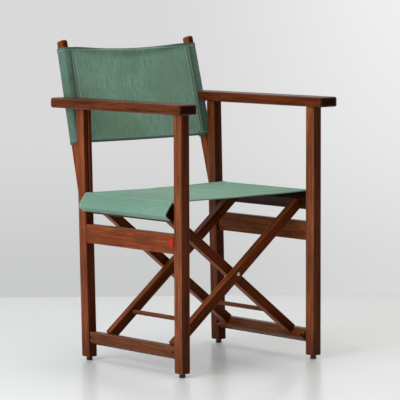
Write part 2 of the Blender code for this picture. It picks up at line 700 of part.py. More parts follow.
def foot_dowel(name, rise, pair, rail, leg, parent):
    """Dowel that holds a cross leg's foot to its lower rail."""
    y = sum(local_y(rise, *leg_band(pair, rise))) / 2
    start = LOWER_RAIL_SHOULDER - PIVOT_TO_CROSSING - FOOT_DOWEL_IN_RAIL
    length = FOOT_DOWEL_IN_RAIL + FOOT_DOWEL_IN_LEG
    place = cross_place(rise)
    dowel = cylinder(name, FOOT_DOWEL_RADIUS, (start, y, 0), length, "x", place,
                     SMALL_ROUND_STEPS)
    bore = cylinder(name + "_bore", FOOT_DOWEL_RADIUS + CLEARANCE, (start - CLEARANCE, y, 0),
                    length + 2 * CLEARANCE, "x", place, SMALL_ROUND_STEPS)
    cut(rail, bore)
    cut(leg, bore)
    return link(dowel, WOOD, parent)


def crossing_bolt(label, pair, legs, parent):
    """Bolt, washer and nut where a pair crosses, the head on the chair's outside."""
    way = -1 if label == "front" else 1     # the side that the head faces
    face = pair + way * (PAIR_HALF + CLEARANCE)
    back = pair - way * (PAIR_HALF + CLEARANCE)
    shank = abs(face - back) + BOLT_END_IN_NUT
    place = Matrix.Translation((0, face, CROSSING_HEIGHT)) @ (
        AXES["y"].inverted() if way < 0 else AXES["y"])
    # A low domed head, then the shank.
    profile = [(0, BOLT_HEAD_HEIGHT), (BOLT_HEAD_RADIUS * 0.6, BOLT_HEAD_HEIGHT * 0.85),
               (BOLT_HEAD_RADIUS * 0.92, BOLT_HEAD_HEIGHT * 0.4), (BOLT_HEAD_RADIUS, 0),
               (BOLT_RADIUS, 0), (BOLT_RADIUS, -shank), (0, -shank)]
    link(turned(f"crossing_bolt_{label}", profile, place), BRASS, parent)
    bore = cylinder(f"crossing_bore_{label}", BOLT_RADIUS + CLEARANCE,
                    (0, pair - 2 * PAIR_HALF, CROSSING_HEIGHT), 4 * PAIR_HALF, "y")
    washer = cylinder(f"crossing_washer_{label}", WASHER_RADIUS,
                      (0, pair - PAIR_GAP / 2 + CLEARANCE, CROSSING_HEIGHT),
                      PAIR_GAP - 2 * CLEARANCE, "y")
    nut_start = back if way < 0 else back - NUT_HEIGHT
    nut = cylinder(f"crossing_nut_{label}", NUT_RADIUS, (0, nut_start, CROSSING_HEIGHT),
                   NUT_HEIGHT, "y", steps=6)
    for bored in (*legs, washer, nut):
        cut(bored, bore)
    link(washer, RUBBER, parent)
    link(nut, BRASS, parent)


# ================================================================ canvas
def seat_wrap(name, rise, parent):
    """Seat canvas over the outer face of a seat rail and under it."""
    height = SEAT_RAIL_EDGE_HEIGHT
    low, high = local_y(rise, front_leg_rear(height) + SEAT_RAIL_PLAY,
                        rear_leg_front(height) - SEAT_RAIL_PLAY)
    face = SEAT_RAIL_OUTER + CLEARANCE
    under = -SEAT_RAIL_BELOW - CLEARANCE
    outline = [(face, SEAT_RAIL_ABOVE), (face, under), (face - SEAT_WRAP_RETURN, under),
               (face - SEAT_WRAP_RETURN, under - FABRIC), (face + FABRIC, under - FABRIC),
               (face + FABRIC, SEAT_RAIL_ABOVE)]
    place = cross_place(rise) @ Matrix.Translation((0, (low + high) / 2, 0)) @ IN_XZ
    wrap = outline_solid(name, outline, high - low, place)
    return link(wrap, CANVAS, parent)


def seat_panel(name, parent):
    """Seat canvas from rail to rail, over their top edges."""
    top_corner = cross_place(LEFT) @ Vector((SEAT_RAIL_OUTER, 0, SEAT_RAIL_ABOVE))
    half = top_corner.x - 2 * CLEARANCE
    low = top_corner.z + CLEARANCE
    height = SEAT_RAIL_EDGE_HEIGHT
    panel = box(name, (-half, front_leg_rear(height) + SEAT_RAIL_PLAY, low),
                (half, rear_leg_front(height) - SEAT_RAIL_PLAY, low + FABRIC))
    return link(panel, CANVAS, parent)


def back_sleeve(name, side, parent):
    """Sleeve of the back canvas round a post."""
    low, high = along_post(SLEEVE_BOTTOM), along_post(SLEEVE_TOP)
    half_x, half_y = SLEEVE_THICKNESS / 2, SLEEVE_DEPTH / 2
    sleeve = box(name, (-half_x, -half_y, low), (half_x, half_y, high), post_place(side))
    round_edges(sleeve, SLEEVE_EDGE)
    inside = box(name + "_inside", (-half_x + FABRIC, -half_y + FABRIC, low - half_y),
                 (half_x - FABRIC, half_y - FABRIC, high + half_y), post_place(side))
    cut(sleeve, inside)
    return link(sleeve, CANVAS, parent)


def back_panel(name, parent):
    """Back canvas between the sleeves, level with their front faces."""
    low, high = along_post(SLEEVE_BOTTOM), along_post(SLEEVE_TOP)
    post = post_place(LEFT)
    edge = Vector((-SLEEVE_THICKNESS / 2, 0, 0))
    bottom = (post @ (edge + Vector((0, 0, low)))).x - CLEARANCE
    top = (post @ (edge + Vector((0, 0, high)))).x - CLEARANCE
    middle = Vector((0, *post.translation.yz))
    depth = -SLEEVE_DEPTH / 2 + BACK_PANEL / 2
    place = (Matrix.Translation(middle) @ Matrix.Rotation(-POST_LEAN, 4, "X")
             @ Matrix.Translation((0, depth, 0)) @ IN_XZ)
    outline = [(-bottom, low), (bottom, low), (top, high), (-top, high)]
    return link(outline_solid(name, outline, BACK_PANEL, place), CANVAS, parent)


# ================================================================ assembly
def build_side(side_name, parent):
    side = SIDES[side_name]
    legs = {
        "front": front_leg(f"front_leg_{side_name}", side, parent),
        "rear": rear_leg(f"rear_leg_{side_name}", side, parent),
    }
    upper_rail(f"upper_rail_{side_name}", side, legs, parent)
    arm = armrest(f"armrest_{side_name}", side, parent)
    post = back_post(f"back_post_{side_name}", side, parent)
    post_pin(f"post_pin_{side_name}", side, legs["rear"], post, parent)
    arm_dowels(side_name, side, legs, arm, parent)
    foot_y = {
        "front": (front_leg_front(LEG_BOTTOM) + front_leg_rear(LEG_BOTTOM)) / 2,
        "rear": (rear_leg_front(LEG_BOTTOM) + rear_leg_rear(LEG_BOTTOM)) / 2,
    }
    for label, leg in legs.items():
        glide(f"glide_{label}_{side_name}", side, leg, foot_y[label], parent)
    back_sleeve(f"back_sleeve_{side_name}", side, parent)
    return legs


def build_cross_frame(rise_name, foot_name, parent):
    """Cross legs that climb to rise_name and stand on the lower rail of foot_name."""
    rise = SIDES[rise_name]
    pairs = {"front": FRONT_PAIR, "rear": REAR_PAIR}
    legs = {label: cross_leg(f"cross_leg_{label}_to_{rise_name}", rise, pair, parent)
            for label, pair in pairs.items()}
    rail = seat_rail(f"seat_rail_{rise_name}", rise, parent)
    low_rail, front, rear = lower_rail(f"lower_rail_{foot_name}", SIDES[foot_name], parent)
    stretcher(f"stretcher_{foot_name}", rise, legs.values(), parent)
    for label, pair in pairs.items():
        seat_rail_screw(f"seat_rail_screw_{label}_{rise_name}", rise, pair, rail, legs[label],
                        parent)
        foot_dowel(f"foot_dowel_{label}_{foot_name}", rise, pair, low_rail, legs[label], parent)
    seat_wrap(f"seat_wrap_{rise_name}", rise, parent)
    return legs, low_rail, {"front": front, "rear": rear}


def build_chair():
    pivots = {
        "right": make_pivot("right_side_frame", (-LEG_CENTRE, 0, PIVOT_HEIGHT)),
        "left": make_pivot("left_side_frame", (LEG_CENTRE, 0, PIVOT_HEIGHT)),
        "to_left": make_pivot("cross_frame_to_left", (-LEG_CENTRE, 0, PIVOT_HEIGHT)),
        "to_right": make_pivot("cross_frame_to_right", (0, 0, CROSSING_HEIGHT)),
    }
    side_legs = {name: build_side(name, pivots[name]) for name in SIDES}
    red_tag(pivots["right"])
    cross = {}
    for rise_name, foot_name in (("left", "right"), ("right", "left")):
        frame = pivots[f"to_{rise_name}"]
        legs, rail, ends = build_cross_frame(rise_name, foot_name, frame)
        cross[rise_name] = legs
        side = SIDES[foot_name]
        for label, where in (("front", -1), ("rear", 1)):
            bore = pivot_pin(f"pivot_pin_{label}_{foot_name}", side, side_legs[foot_name][label],
                             rail, where, pivots[foot_name])
            y = ends[label] - where * CROSS_DOWEL_FROM_END
            cross_dowel(f"cross_dowel_{label}_{foot_name}", side, rail, bore, y, frame)
    for label, pair in (("front", FRONT_PAIR), ("rear", REAR_PAIR)):
        crossing_bolt(label, pair, [legs[label] for legs in cross.values()], pivots["to_left"])
    seat_panel("seat_panel", pivots["to_left"])
    back_panel("back_panel", pivots["right"])


def centre_front_to_back():
    """Move the whole chair so that the origin lies under the middle of its bounding box."""
    bpy.context.view_layer.update()
    graph = bpy.context.evaluated_depsgraph_get()
    reach = []
    for obj in CHAIR.objects:
        if obj.type == "MESH":
            solid = obj.evaluated_get(graph)
            reach += [(solid.matrix_world @ vertex.co).y for vertex in solid.data.vertices]
    shift = Matrix.Translation((0, -(min(reach) + max(reach)) / 2, 0))
    for obj in (*CHAIR.objects, *CUTTERS.objects):
        if obj.parent is None:
            obj.matrix_basis = shift @ obj.matrix_basis


build_chair()
centre_front_to_back()
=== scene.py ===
"""Looks of a folding director's chair: oiled hardwood, green cotton canvas and small metalwork.

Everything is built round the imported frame, in metres, +Z up, with the sitter facing -Y.
"""

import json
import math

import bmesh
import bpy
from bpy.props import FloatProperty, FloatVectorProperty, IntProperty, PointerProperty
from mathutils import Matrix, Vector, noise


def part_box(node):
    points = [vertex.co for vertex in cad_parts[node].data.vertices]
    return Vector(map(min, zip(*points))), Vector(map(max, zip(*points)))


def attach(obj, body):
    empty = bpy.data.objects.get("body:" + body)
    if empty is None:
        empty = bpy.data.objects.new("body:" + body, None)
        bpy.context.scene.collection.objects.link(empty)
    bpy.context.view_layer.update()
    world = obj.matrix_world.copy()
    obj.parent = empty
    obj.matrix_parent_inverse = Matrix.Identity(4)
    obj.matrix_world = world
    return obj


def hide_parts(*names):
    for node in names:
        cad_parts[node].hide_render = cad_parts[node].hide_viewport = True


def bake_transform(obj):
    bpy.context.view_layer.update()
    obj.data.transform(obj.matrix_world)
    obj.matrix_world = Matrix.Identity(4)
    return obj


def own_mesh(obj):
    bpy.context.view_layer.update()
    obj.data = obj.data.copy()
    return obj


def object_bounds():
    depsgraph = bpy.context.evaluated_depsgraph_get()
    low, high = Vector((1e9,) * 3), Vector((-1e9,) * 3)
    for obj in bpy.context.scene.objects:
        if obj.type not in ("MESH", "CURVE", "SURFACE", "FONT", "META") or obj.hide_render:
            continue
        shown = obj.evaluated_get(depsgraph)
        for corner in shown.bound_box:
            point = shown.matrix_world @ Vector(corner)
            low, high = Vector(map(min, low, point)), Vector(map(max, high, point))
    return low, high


bl_info = {
    "name": "Folding Director's Chair",
    "version": (1, 0, 0),
    "blender": (4, 5, 0),
    "location": "View3D > Sidebar > Chair",
    "description": "Finishes a folding chair's wood and adds its canvas, stitching and metalwork",
    "category": "Add Mesh",
}

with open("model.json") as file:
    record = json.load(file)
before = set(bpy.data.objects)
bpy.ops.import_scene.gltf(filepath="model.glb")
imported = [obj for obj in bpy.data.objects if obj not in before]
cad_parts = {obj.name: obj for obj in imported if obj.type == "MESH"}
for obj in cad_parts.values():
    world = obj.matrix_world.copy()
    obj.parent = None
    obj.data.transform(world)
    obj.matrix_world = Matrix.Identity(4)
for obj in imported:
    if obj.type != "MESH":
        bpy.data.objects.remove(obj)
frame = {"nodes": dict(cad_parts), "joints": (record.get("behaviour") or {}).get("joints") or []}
CAD_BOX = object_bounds()

SIDES = {"right": -1, "left": 1}    # the sitter's right and left, and the sign of X
ENDS = {"front": -1, "rear": 1}     # sign of Y
CORNERS = [(end, side) for side in SIDES for end in ENDS]
MM = 0.001


# ================================================================ places taken from the frame
def joint_place(name):
    """Point on a joint's axis."""
    return Vector(next(j["pos_m"] for j in frame["joints"] if j["name"] == name))


RIGHT_PIVOT = joint_place("fold")
CROSSING = joint_place("crossing")
LEG_SLOPE = math.atan2(CROSSING.z - RIGHT_PIVOT.z, CROSSING.x - RIGHT_PIVOT.x)


def left_leg_place():
    """Frame of the crossed legs that climb to the left: X up the leg, Z square to it."""
    return Matrix.Translation((0, 0, CROSSING.z)) @ Matrix.Rotation(-LEG_SLOPE, 4, "Y")


def points_of(node):
    return [vertex.co.copy() for vertex in frame["nodes"][node].data.vertices]


def box_in(node, place):
    """Lowest and highest corners of a node, measured in another frame."""
    back = place.inverted()
    points = [back @ point for point in points_of(node)]
    low = Vector([min(p[i] for p in points) for i in range(3)])
    high = Vector([max(p[i] for p in points) for i in range(3)])
    return low, high


def post_place(side_name):
    """Frame of a back post: origin level with the sleeve's lower end, Z up the post."""
    points = points_of(f"back_sleeve_{side_name}")
    middle = sum(points, Vector()) / len(points)
    upper = [p for p in points if p.z > middle.z]
    lower = [p for p in points if p.z <= middle.z]
    foot = sum(lower, Vector()) / len(lower)
    up = (sum(upper, Vector()) / len(upper) - foot).normalized()
    across = (Vector((1, 0, 0)) - up * up.x).normalized()
    rear = up.cross(across)
    turn = Matrix((across, rear, up)).transposed().to_4x4()
    return Matrix.Translation(foot) @ turn


# ================================================================ settings
def hex_colour(text):
    """sRGB hex to linear red, green and blue."""
    values = [int(text[i:i + 2], 16) / 255 for i in (0, 2, 4)]
    return tuple(v / 12.92 if v <= 0.04045 else ((v + 0.055) / 1.055) ** 2.4 for v in values)


def colour_setting(name, description, text):
    return FloatVectorProperty(name=name, description=description, subtype="COLOR",
                               default=hex_colour(text), min=0, max=1)


def length_setting(name, description, default):
    return FloatProperty(name=name, description=description, default=default, unit="LENGTH",
                         min=0, precision=4)


class CanvasSettings(bpy.types.PropertyGroup):
    colour: colour_setting("Canvas", "Dyed cotton in full light", "8AAF9B")
    slub_colour: colour_setting("Slub", "Thin, darker stretches of the thread", "65897A")
    thread_colour: colour_setting("Sewing thread", "Thread of the seams", "BCCDBD")
    thickness: length_setting("Thickness", "One layer of the canvas", 0.0013)
    hem_thickness: length_setting("Hem", "The canvas turned over and sewn", 0.0026)
    hem_width: length_setting("Hem width", "How far the edges are turned over", 0.011)
    thread_spacing: length_setting("Thread spacing", "Between neighbouring threads", 0.0016)
    seat_sag: length_setting("Seat sag", "Drop of the seat at its middle", 0.0035)
    slack: FloatProperty(name="Back slack", description="Spare width of the back canvas",
                         default=0.0004, min=0, max=0.05, subtype="FACTOR")


class WoodSettings(bpy.types.PropertyGroup):
    face: colour_setting("Face grain", "Broad grain of the outer faces", "964B28")
    streak: colour_setting("Dark streak", "Late wood between the bands", "622713")
    # Besides pores and the darker low part, this colour is painted on every face turned along Y,
    # as painted shade.
    edge: colour_setting("Edge grain", "Edges and end grain, which soak up more stain", "4A1C0B")
    worn: colour_setting("Worn edge", "Corners rubbed by hands", "A8623E")
    grain_width: length_setting("Grain width", "One dark and one light band", 0.007)


class MetalSettings(bpy.types.PropertyGroup):
    brass: colour_setting("Brass", "Domed bolts and their nuts", "DCC79A")
    steel: colour_setting("Steel", "Dark plated pins and barrel nuts", "3A3835")
    nylon: colour_setting("Nylon", "Moulded feet and washers", "191817")
    tape: colour_setting("Tape", "Woven red tape of the tag", "C4101B")


class StageSettings(bpy.types.PropertyGroup):
    floor: colour_setting("Floor", "Pale polished floor", "F6F6F6")
    wall: colour_setting("Wall", "Pale wall", "D9D9D9")
    wall_foot_shade: colour_setting("Wall's foot", "The wall where it meets the floor", "C9CACA")
    wall_bright: colour_setting("Lit wall", "The wall where the light falls on it", "F4F4F4")
    azimuth: FloatProperty(name="Azimuth", description="Camera round the chair, degrees",
                           default=-39.844)
    elevation: FloatProperty(name="Elevation", description="Camera above level, degrees",
                             default=5.440)
    roll: FloatProperty(name="Roll", description="Camera's tilt, degrees", default=-0.478)
    distance: length_setting("Distance", "Camera to the point it looks at", 6.530)
    look_height: length_setting("Look height", "Height of that point", 0.4238)
    lens: FloatProperty(name="Lens", description="Focal length in millimetres on a 36 mm film",
                        default=223.07)
    wall_distance: length_setting("Wall distance", "From the chair to the wall behind it", 1.26)
    samples: IntProperty(name="Bevel samples", description="Of the wood's worn edges", default=4)


SETTINGS = {"canvas": CanvasSettings, "wood": WoodSettings, "metal": MetalSettings,
            "stage": StageSettings}


def settings(name):
    return getattr(bpy.context.scene, f"chair_{name}")


# ================================================================ material helpers
SMOOTH = {"interpolation_type": "SMOOTHSTEP"}


def new_material(name):
    """An empty material: its node tree and its Principled shader."""
    material = bpy.data.materials.new(name)
    material.use_nodes = True
    return material, material.node_tree, material.node_tree.nodes["Principled BSDF"]


def feed(socket, value):
    """Set a socket, or link it to another socket or to a node's first output in use."""
    if isinstance(value, bpy.types.Node):
        value = next(output for output in value.outputs if output.enabled)
    if isinstance(value, bpy.types.NodeSocket):
        socket.id_data.links.new(value, socket)
    else:
        socket.default_value = value


def add(tree, kind, inputs=(), **values):
    """Add a shader node; inputs, in order or by socket, are values, nodes or outputs."""
    node = tree.nodes.new("ShaderNode" + kind)
    for name, value in values.items():
        setattr(node, name, value)
    pairs = inputs.items() if isinstance(inputs, dict) else enumerate(inputs)
    for socket, value in pairs:
        feed(node.inputs[socket], value)
    return node


def set_shader(shader, **inputs):
    for name, value in inputs.items():
        feed(shader.inputs[name.replace("_", " ")], value)


def shade(colour, factor=1.0):
    """A colour made lighter or darker, with its alpha."""
    return (*[min(1, c * factor) for c in colour], 1.0)


def laid_over(tree, body, colour, pattern, low, high, most=1.0):
    """Lay one colour over another where a pattern climbs from low to high."""
    share = add(tree, "MapRange", [pattern, low, high, 0.0, most], **SMOOTH)
    return add(tree, "Mix", {0: share, 6: body, 7: colour}, data_type="RGBA")


def speckled(tree, grit, detail):
    """Cloudy speckles of about the given size, in metres."""
    place = add(tree, "TexCoord").outputs["Object"]
    return add(tree, "TexNoise", {"Vector": place, "Scale": 1 / grit, "Detail": detail})


KEPT = {}


def kept(maker, *args):
    """What a maker gives, made once and shared."""
    if (maker, args) not in KEPT:
        KEPT[maker, args] = maker(*args)
    return KEPT[maker, args]


# ================================================================ materials
GRAIN = {                   # turns each board's length to X
    "upright": Matrix.Rotation(math.radians(90), 4, "Y"),
    "level": Matrix.Rotation(math.radians(-90), 4, "Z"),
    "to_left": Matrix.Rotation(LEG_SLOPE, 4, "Y"),
    "to_right": Matrix.Rotation(-LEG_SLOPE, 4, "Y"),
}
EVEN = (1.0, 1.0, 1.0)
PORE = 0.9 * MM             # real pores are about 0.2 mm wide; drawn wider so that they show


def oiled_hardwood(name, grain, seed, tone_and_painted_light=EVEN, ends=1.0):
    """Keruing or a like tropical hardwood, planed, stained and oiled to a satin.

    Long straight bands and short dark pores run along each board.  Faces turned along Y are
    painted in the dark edge colour, as painted shade.  Oil and handling leave a soft gloss, and
    corners are rubbed paler.  Tone is how light this board is, partly its own colour and partly
    painted light and shade, and ends how much darker its end faces are painted, as painted shade.
    """
    wood = settings("wood")
    face, streak, dark, worn = ([c * t for c, t in zip(colour, tone_and_painted_light)]
                                for colour in (wood.face, wood.streak, wood.edge, wood.worn))
    # Painted shade: a board's dark colour made darker still, which shows on its end faces.
    dark = [c * ends for c in dark]
    material, tree, shader = new_material(name)
    coords = add(tree, "TexCoord").outputs
    # Each board is cut from its own place in the tree.
    board = add(tree, "Mapping", {"Vector": coords["Object"], "Rotation": grain.to_euler(),
                                  "Location": (0.37 * seed, 0.71 * seed, 1.13 * seed)})

    def streaks(length, width, detail, roughness=0.55):
        stretched = add(tree, "Mapping", {"Vector": board,
                                          "Scale": (1 / length, 1 / width, 1 / width)})
        return add(tree, "TexNoise", {"Vector": stretched, "Scale": 1.0, "Detail": detail,
                                      "Roughness": roughness})

    width = wood.grain_width
    broad = streaks(0.14, 5 * width, 2)
    bands = streaks(0.20, width, 3)
    fine = streaks(0.07, width / 4, 3, 0.7)
    pores = streaks(20 * PORE, PORE, 1)
    body = laid_over(tree, shade(face), shade(face, 0.66), broad, 0.36, 0.64)
    body = laid_over(tree, body, shade(streak), bands, 0.46, 0.66, 0.8)
    body = laid_over(tree, body, shade(streak, 0.55), fine, 0.48, 0.62, 0.8)
    body = laid_over(tree, body, shade(dark), pores, 0.6, 0.75, 0.6)

    # Painted shade: faces turned along Y, whatever their grain, take the dark colour banded with
    # the grain.
    facing = add(tree, "VectorMath", [coords["Normal"]], operation="ABSOLUTE")
    facing = add(tree, "SeparateXYZ", [facing]).outputs
    edge = laid_over(tree, shade(dark), shade(dark, 0.45), bands, 0.4, 0.65)
    body = laid_over(tree, body, edge, facing["Y"], 0.35, 0.9, 0.9)
    # The lowest part of the frame is darker towards the floor, in patches.
    height = add(tree, "SeparateXYZ", [coords["Object"]]).outputs["Z"]
    low = add(tree, "MapRange", [height, 0.02, 0.13, 0.8, 0.0], **SMOOTH)
    patchy = add(tree, "MapRange", [broad, 0.3, 0.65, 1.0, 0.45], **SMOOTH)
    low_darkening = add(tree, "Math", [low, patchy], operation="MULTIPLY")
    body = add(tree, "Mix", {0: low_darkening, 6: body, 7: shade(dark, 0.6)}, data_type="RGBA")

    soft = add(tree, "Bevel", {"Radius": 1.6 * MM}, samples=settings("stage").samples)
    flat = add(tree, "NewGeometry").outputs["Normal"]
    square = add(tree, "VectorMath", [soft, flat], operation="DOT_PRODUCT")
    corner = add(tree, "MapRange", [square.outputs["Value"], 0.998, 0.95], **SMOOTH)
    wear = add(tree, "MapRange", [broad, 0.35, 0.65, 0.1, 0.5], **SMOOTH)
    rubbed = add(tree, "Math", [corner, wear], operation="MULTIPLY")
    body = add(tree, "Mix", {0: rubbed, 6: body, 7: shade(worn)}, data_type="RGBA")
    polish = add(tree, "MapRange", [corner, 0.0, 1.0, 0.03, 0.4], **SMOOTH)
    if ends < 1:
        # Hands polish the round corners of an armrest.
        squarest = add(tree, "Math", [facing["X"], facing["Y"]], operation="MAXIMUM")
        round_part = add(tree, "MapRange", [squarest, 0.995, 0.95], **SMOOTH)
        upright = add(tree, "MapRange", [facing["Z"], 0.2, 0.05], **SMOOTH)
        handled = add(tree, "Math", [round_part, upright], operation="MULTIPLY")
        polish = add(tree, "Math", [polish, handled], operation="MAXIMUM")
    # Red stain in the oil colours the broad gloss; hands polish the corners clear.
    set_shader(shader, Base_Color=body, Coat_Weight=polish, Coat_Roughness=0.2, Coat_IOR=1.45,
               IOR=1.5, Specular_IOR_Level=0.12, Specular_Tint=(1.0, 0.4, 0.2, 1.0),
               Roughness=add(tree, "MapRange", [fine, 0.3, 0.8, 0.30, 0.50], **SMOOTH),
               Normal=add(tree, "Bump", {"Height": fine, "Strength": 0.25, "Normal": soft,
                                         "Distance": 0.3 * MM}))
    return material


def cotton_canvas(name, seed, tone_and_painted_light=1.0, uneven=1.0):
    """Heavy cotton duck, yarn-dyed and plain woven, with no finish.

    Uneven yarn leaves short darker slubs along the warp.  The weave gives a dull,
    slightly fuzzy surface.  Tone lightens or darkens each piece of the same cloth, as painted
    light and shade, and painted shade darkens the hems, creases and sides that each point marks.
    """
    canvas = settings("canvas")
    dyed = [c * tone_and_painted_light for c in canvas.colour]
    slub = [c * tone_and_painted_light for c in canvas.slub_colour]
    material, tree, shader = new_material(name)
    cloth = add(tree, "UVMap", uv_map="weave")

    def yarns(length, width, detail, shift=0.0):
        scaled = add(tree, "Mapping", {"Vector": cloth, "Scale": (1 / width, 1 / length, 1),
                                       "Location": (seed + shift, seed * 1.7, seed)})
        return add(tree, "TexNoise", {"Vector": scaled, "Scale": 1.0, "Detail": detail,
                                      "Roughness": 0.6})

    slubs = yarns(0.050, 2.6 * MM, 3)
    fine = yarns(0.026, 1.5 * MM, 2, 7.0)
    weft = yarns(1.6 * MM, 0.018, 1, 3.0)
    pale = yarns(0.030, 1.4 * MM, 2, 11.0)
    mottle = yarns(0.16, 0.09, 1, 5.0)
    warmer = (dyed[0] * 0.6, dyed[1] * 0.6, dyed[2] * 0.48)
    body = laid_over(tree, shade(dyed), shade(slub), slubs, 0.38, 0.68, 0.6 * uneven)
    body = laid_over(tree, body, shade(slub, 0.66), fine, 0.48, 0.72, 0.7 * uneven)
    body = laid_over(tree, body, shade(dyed, 1.25), weft, 0.55, 0.8, 0.3)
    body = laid_over(tree, body, shade(dyed, 1.5), pale, 0.52, 0.72, 0.6 * uneven)
    body = laid_over(tree, body, shade(warmer), mottle, 0.34, 0.66, 0.42 * uneven)
    # Painted shade along the hems, in creases and on sides, as each point's attribute gives it.
    hem = add(tree, "Attribute", attribute_name="painted_shade").outputs["Fac"]
    body = add(tree, "Mix", {0: hem, 6: body, 7: shade(dyed, 0.22)}, data_type="RGBA")

    # Plain weave: warp and weft show by turns, as the squares of a chequer.
    pitch = canvas.thread_spacing
    grid = add(tree, "Mapping", {"Vector": cloth, "Scale": (1 / pitch, 1 / pitch, 1)})
    over = add(tree, "TexChecker", {"Vector": grid, "Scale": 1.0}).outputs["Fac"]
    turns = math.pi / 10        # one wave to a square, at the node's own 20 to a turn
    warp, weft = (add(tree, "TexWave", {"Vector": grid, "Scale": turns},
                      bands_direction=axis).outputs["Fac"] for axis in "XY")
    woven = add(tree, "Mix", {0: over, 2: warp, 3: weft}, data_type="FLOAT")
    rough = add(tree, "Math", [woven, slubs], operation="ADD")
    set_shader(shader, Base_Color=body, Roughness=0.88, Specular_IOR_Level=0.2,
               Sheen_Weight=0.05, Sheen_Roughness=0.45, Sheen_Tint=shade(canvas.colour),
               Normal=add(tree, "Bump", {"Height": rough, "Strength": 0.35,
                                         "Distance": 0.35 * MM}))
    return material


def sewing_thread():
    """Spun polyester thread, slightly glossy and paler than the cloth."""
    material, tree, shader = new_material("spun_polyester_thread")
    pale = settings("canvas").thread_colour
    twist = speckled(tree, 1.11 * MM, 1.0)
    set_shader(shader, Roughness=0.6,
               Base_Color=laid_over(tree, shade(pale), shade(pale, 0.7), twist, 0.3, 0.7))
    return material


def worn_metal(name, colour, roughness, tarnish):
    """Machined metal with handling marks: fine pitting and duller, darker patches."""
    material, tree, shader = new_material(name)
    patches = speckled(tree, 3.85 * MM, 3.0)
    pits = speckled(tree, 0.56 * MM, 2.0)
    dull = add(tree, "MapRange", [patches, 0.3, 0.75, roughness, roughness + 0.2], **SMOOTH)
    set_shader(shader, Metallic=1.0, Roughness=dull,
               Normal=add(tree, "Bump", {"Height": pits, "Strength": 0.15,
                                         "Distance": 0.05 * MM}),
               Base_Color=laid_over(tree, shade(colour), shade(colour, 0.45), patches,
                                    0.4, 0.7, tarnish))
    return material


def brass():
    return kept(worn_metal, "lacquered_brass", tuple(settings("metal").brass), 0.24, 0.5)


def steel():
    return kept(worn_metal, "plated_steel", tuple(settings("metal").steel), 0.38, 0.6)


def moulded_nylon():
    """Injection-moulded black nylon: dull, with a fine even texture and pale scuffs."""
    colour = settings("metal").nylon
    material, tree, shader = new_material("moulded_black_nylon")
    scuffed = shade([c * 4 + 0.02 for c in colour])
    scuffs = speckled(tree, 5.56 * MM, 4.0)
    grain = speckled(tree, 0.4 * MM, 2.0)
    set_shader(shader, Roughness=0.5, IOR=1.53,
               Base_Color=laid_over(tree, shade(colour), scuffed, scuffs, 0.58, 0.75, 0.35),
               Normal=add(tree, "Bump", {"Height": grain, "Strength": 0.2,
                                         "Distance": 0.05 * MM}))
    return material


def woven_tape():
    """Red polyester tape: fine ribs across it, a slight silky sheen."""
    colour = settings("metal").tape
    material, tree, shader = new_material("woven_red_tape")
    # Ribs are about 0.4 mm apart; drawn at 1 mm so that they show.
    ribs = add(tree, "TexWave", {"Vector": add(tree, "TexCoord").outputs["Object"],
                                 "Scale": math.tau / (20 * MM), "Distortion": 0.6},
               bands_direction="Z").outputs["Fac"]
    set_shader(shader, Roughness=0.55, Specular_IOR_Level=0.25,
               Base_Color=laid_over(tree, shade(colour), shade(colour, 0.6), ribs, 0.2, 0.9, 0.5),
               Normal=add(tree, "Bump", {"Height": ribs, "Strength": 0.4,
                                         "Distance": 0.2 * MM}))
    return material


# ================================================================ modelling helpers
def only(obj):
    """Select and activate one object, with nothing else selected."""
    if bpy.context.object and bpy.context.object.mode != "OBJECT":
        bpy.ops.object.mode_set(mode="OBJECT")
    bpy.ops.object.select_all(action="DESELECT")
    obj.select_set(True)
    bpy.context.view_layer.objects.active = obj
    return obj


def primitive(operator, name, **values):
    """Add a cube, cylinder or plane, with nothing else selected."""
    bpy.ops.object.select_all(action="DESELECT")
    operator(**values)
    bpy.context.object.name = name
    return bpy.context.object


def linked(name, data):
    """A new object in the scene with the given data."""
    obj = bpy.data.objects.new(name, data)
    bpy.context.scene.collection.objects.link(obj)
    return obj


def apply_all(obj):
    """Apply every modifier, then bring the object's place into its mesh."""
    only(obj)
    for modifier in list(obj.modifiers):
        bpy.ops.object.modifier_apply(modifier=modifier.name)
    bpy.ops.object.transform_apply(location=True, rotation=True, scale=True)


def soften(obj, width):
    """Round every sharp edge of a piece, as a modifier still to be applied."""
    rounding = obj.modifiers.new("soften", "BEVEL")
    rounding.width = width
    rounding.segments = 2
    rounding.limit_method = "ANGLE"
    rounding.angle_limit = math.radians(50)


def lathe(name, profile, steps):
    """Spin a profile of (radius, height) points round Z, as on a lathe."""
    mesh = bpy.data.meshes.new(name)
    edges = [(i, i + 1) for i in range(len(profile) - 1)]
    mesh.from_pydata([(radius, 0, height) for radius, height in profile], edges, [])
    obj = only(linked(name, mesh))
    bpy.ops.object.mode_set(mode="EDIT")
    bpy.ops.mesh.select_all(action="SELECT")
    bpy.ops.mesh.spin(steps=steps, angle=math.tau, center=(0, 0, 0), axis=(0, 0, 1))
    bpy.ops.mesh.select_all(action="SELECT")
    bpy.ops.mesh.remove_doubles(threshold=0.01 * MM)
    bpy.ops.mesh.normals_make_consistent(inside=False)
    bpy.ops.object.mode_set(mode="OBJECT")
    return obj


def put(obj, place, turn=Matrix()):
    """Turn a piece that was modelled at the origin, and move it to its place."""
    obj.data.transform(Matrix.Translation(place) @ turn)


def carve(obj, cutter, operation="DIFFERENCE"):
    """Cut one piece with another, which is used up."""
    boolean = obj.modifiers.new("carve", "BOOLEAN")
    boolean.operation = operation
    boolean.object = cutter
    only(obj)
    bpy.ops.object.modifier_apply(modifier=boolean.name)
    bpy.data.objects.remove(cutter)


def paint(obj, material):
    obj.data.materials.clear()
    obj.data.materials.append(material)
    return obj


def repaint(node, material):
    """Give a frame part a better material."""
    for slot in frame["nodes"][node].material_slots:
        slot.material = material


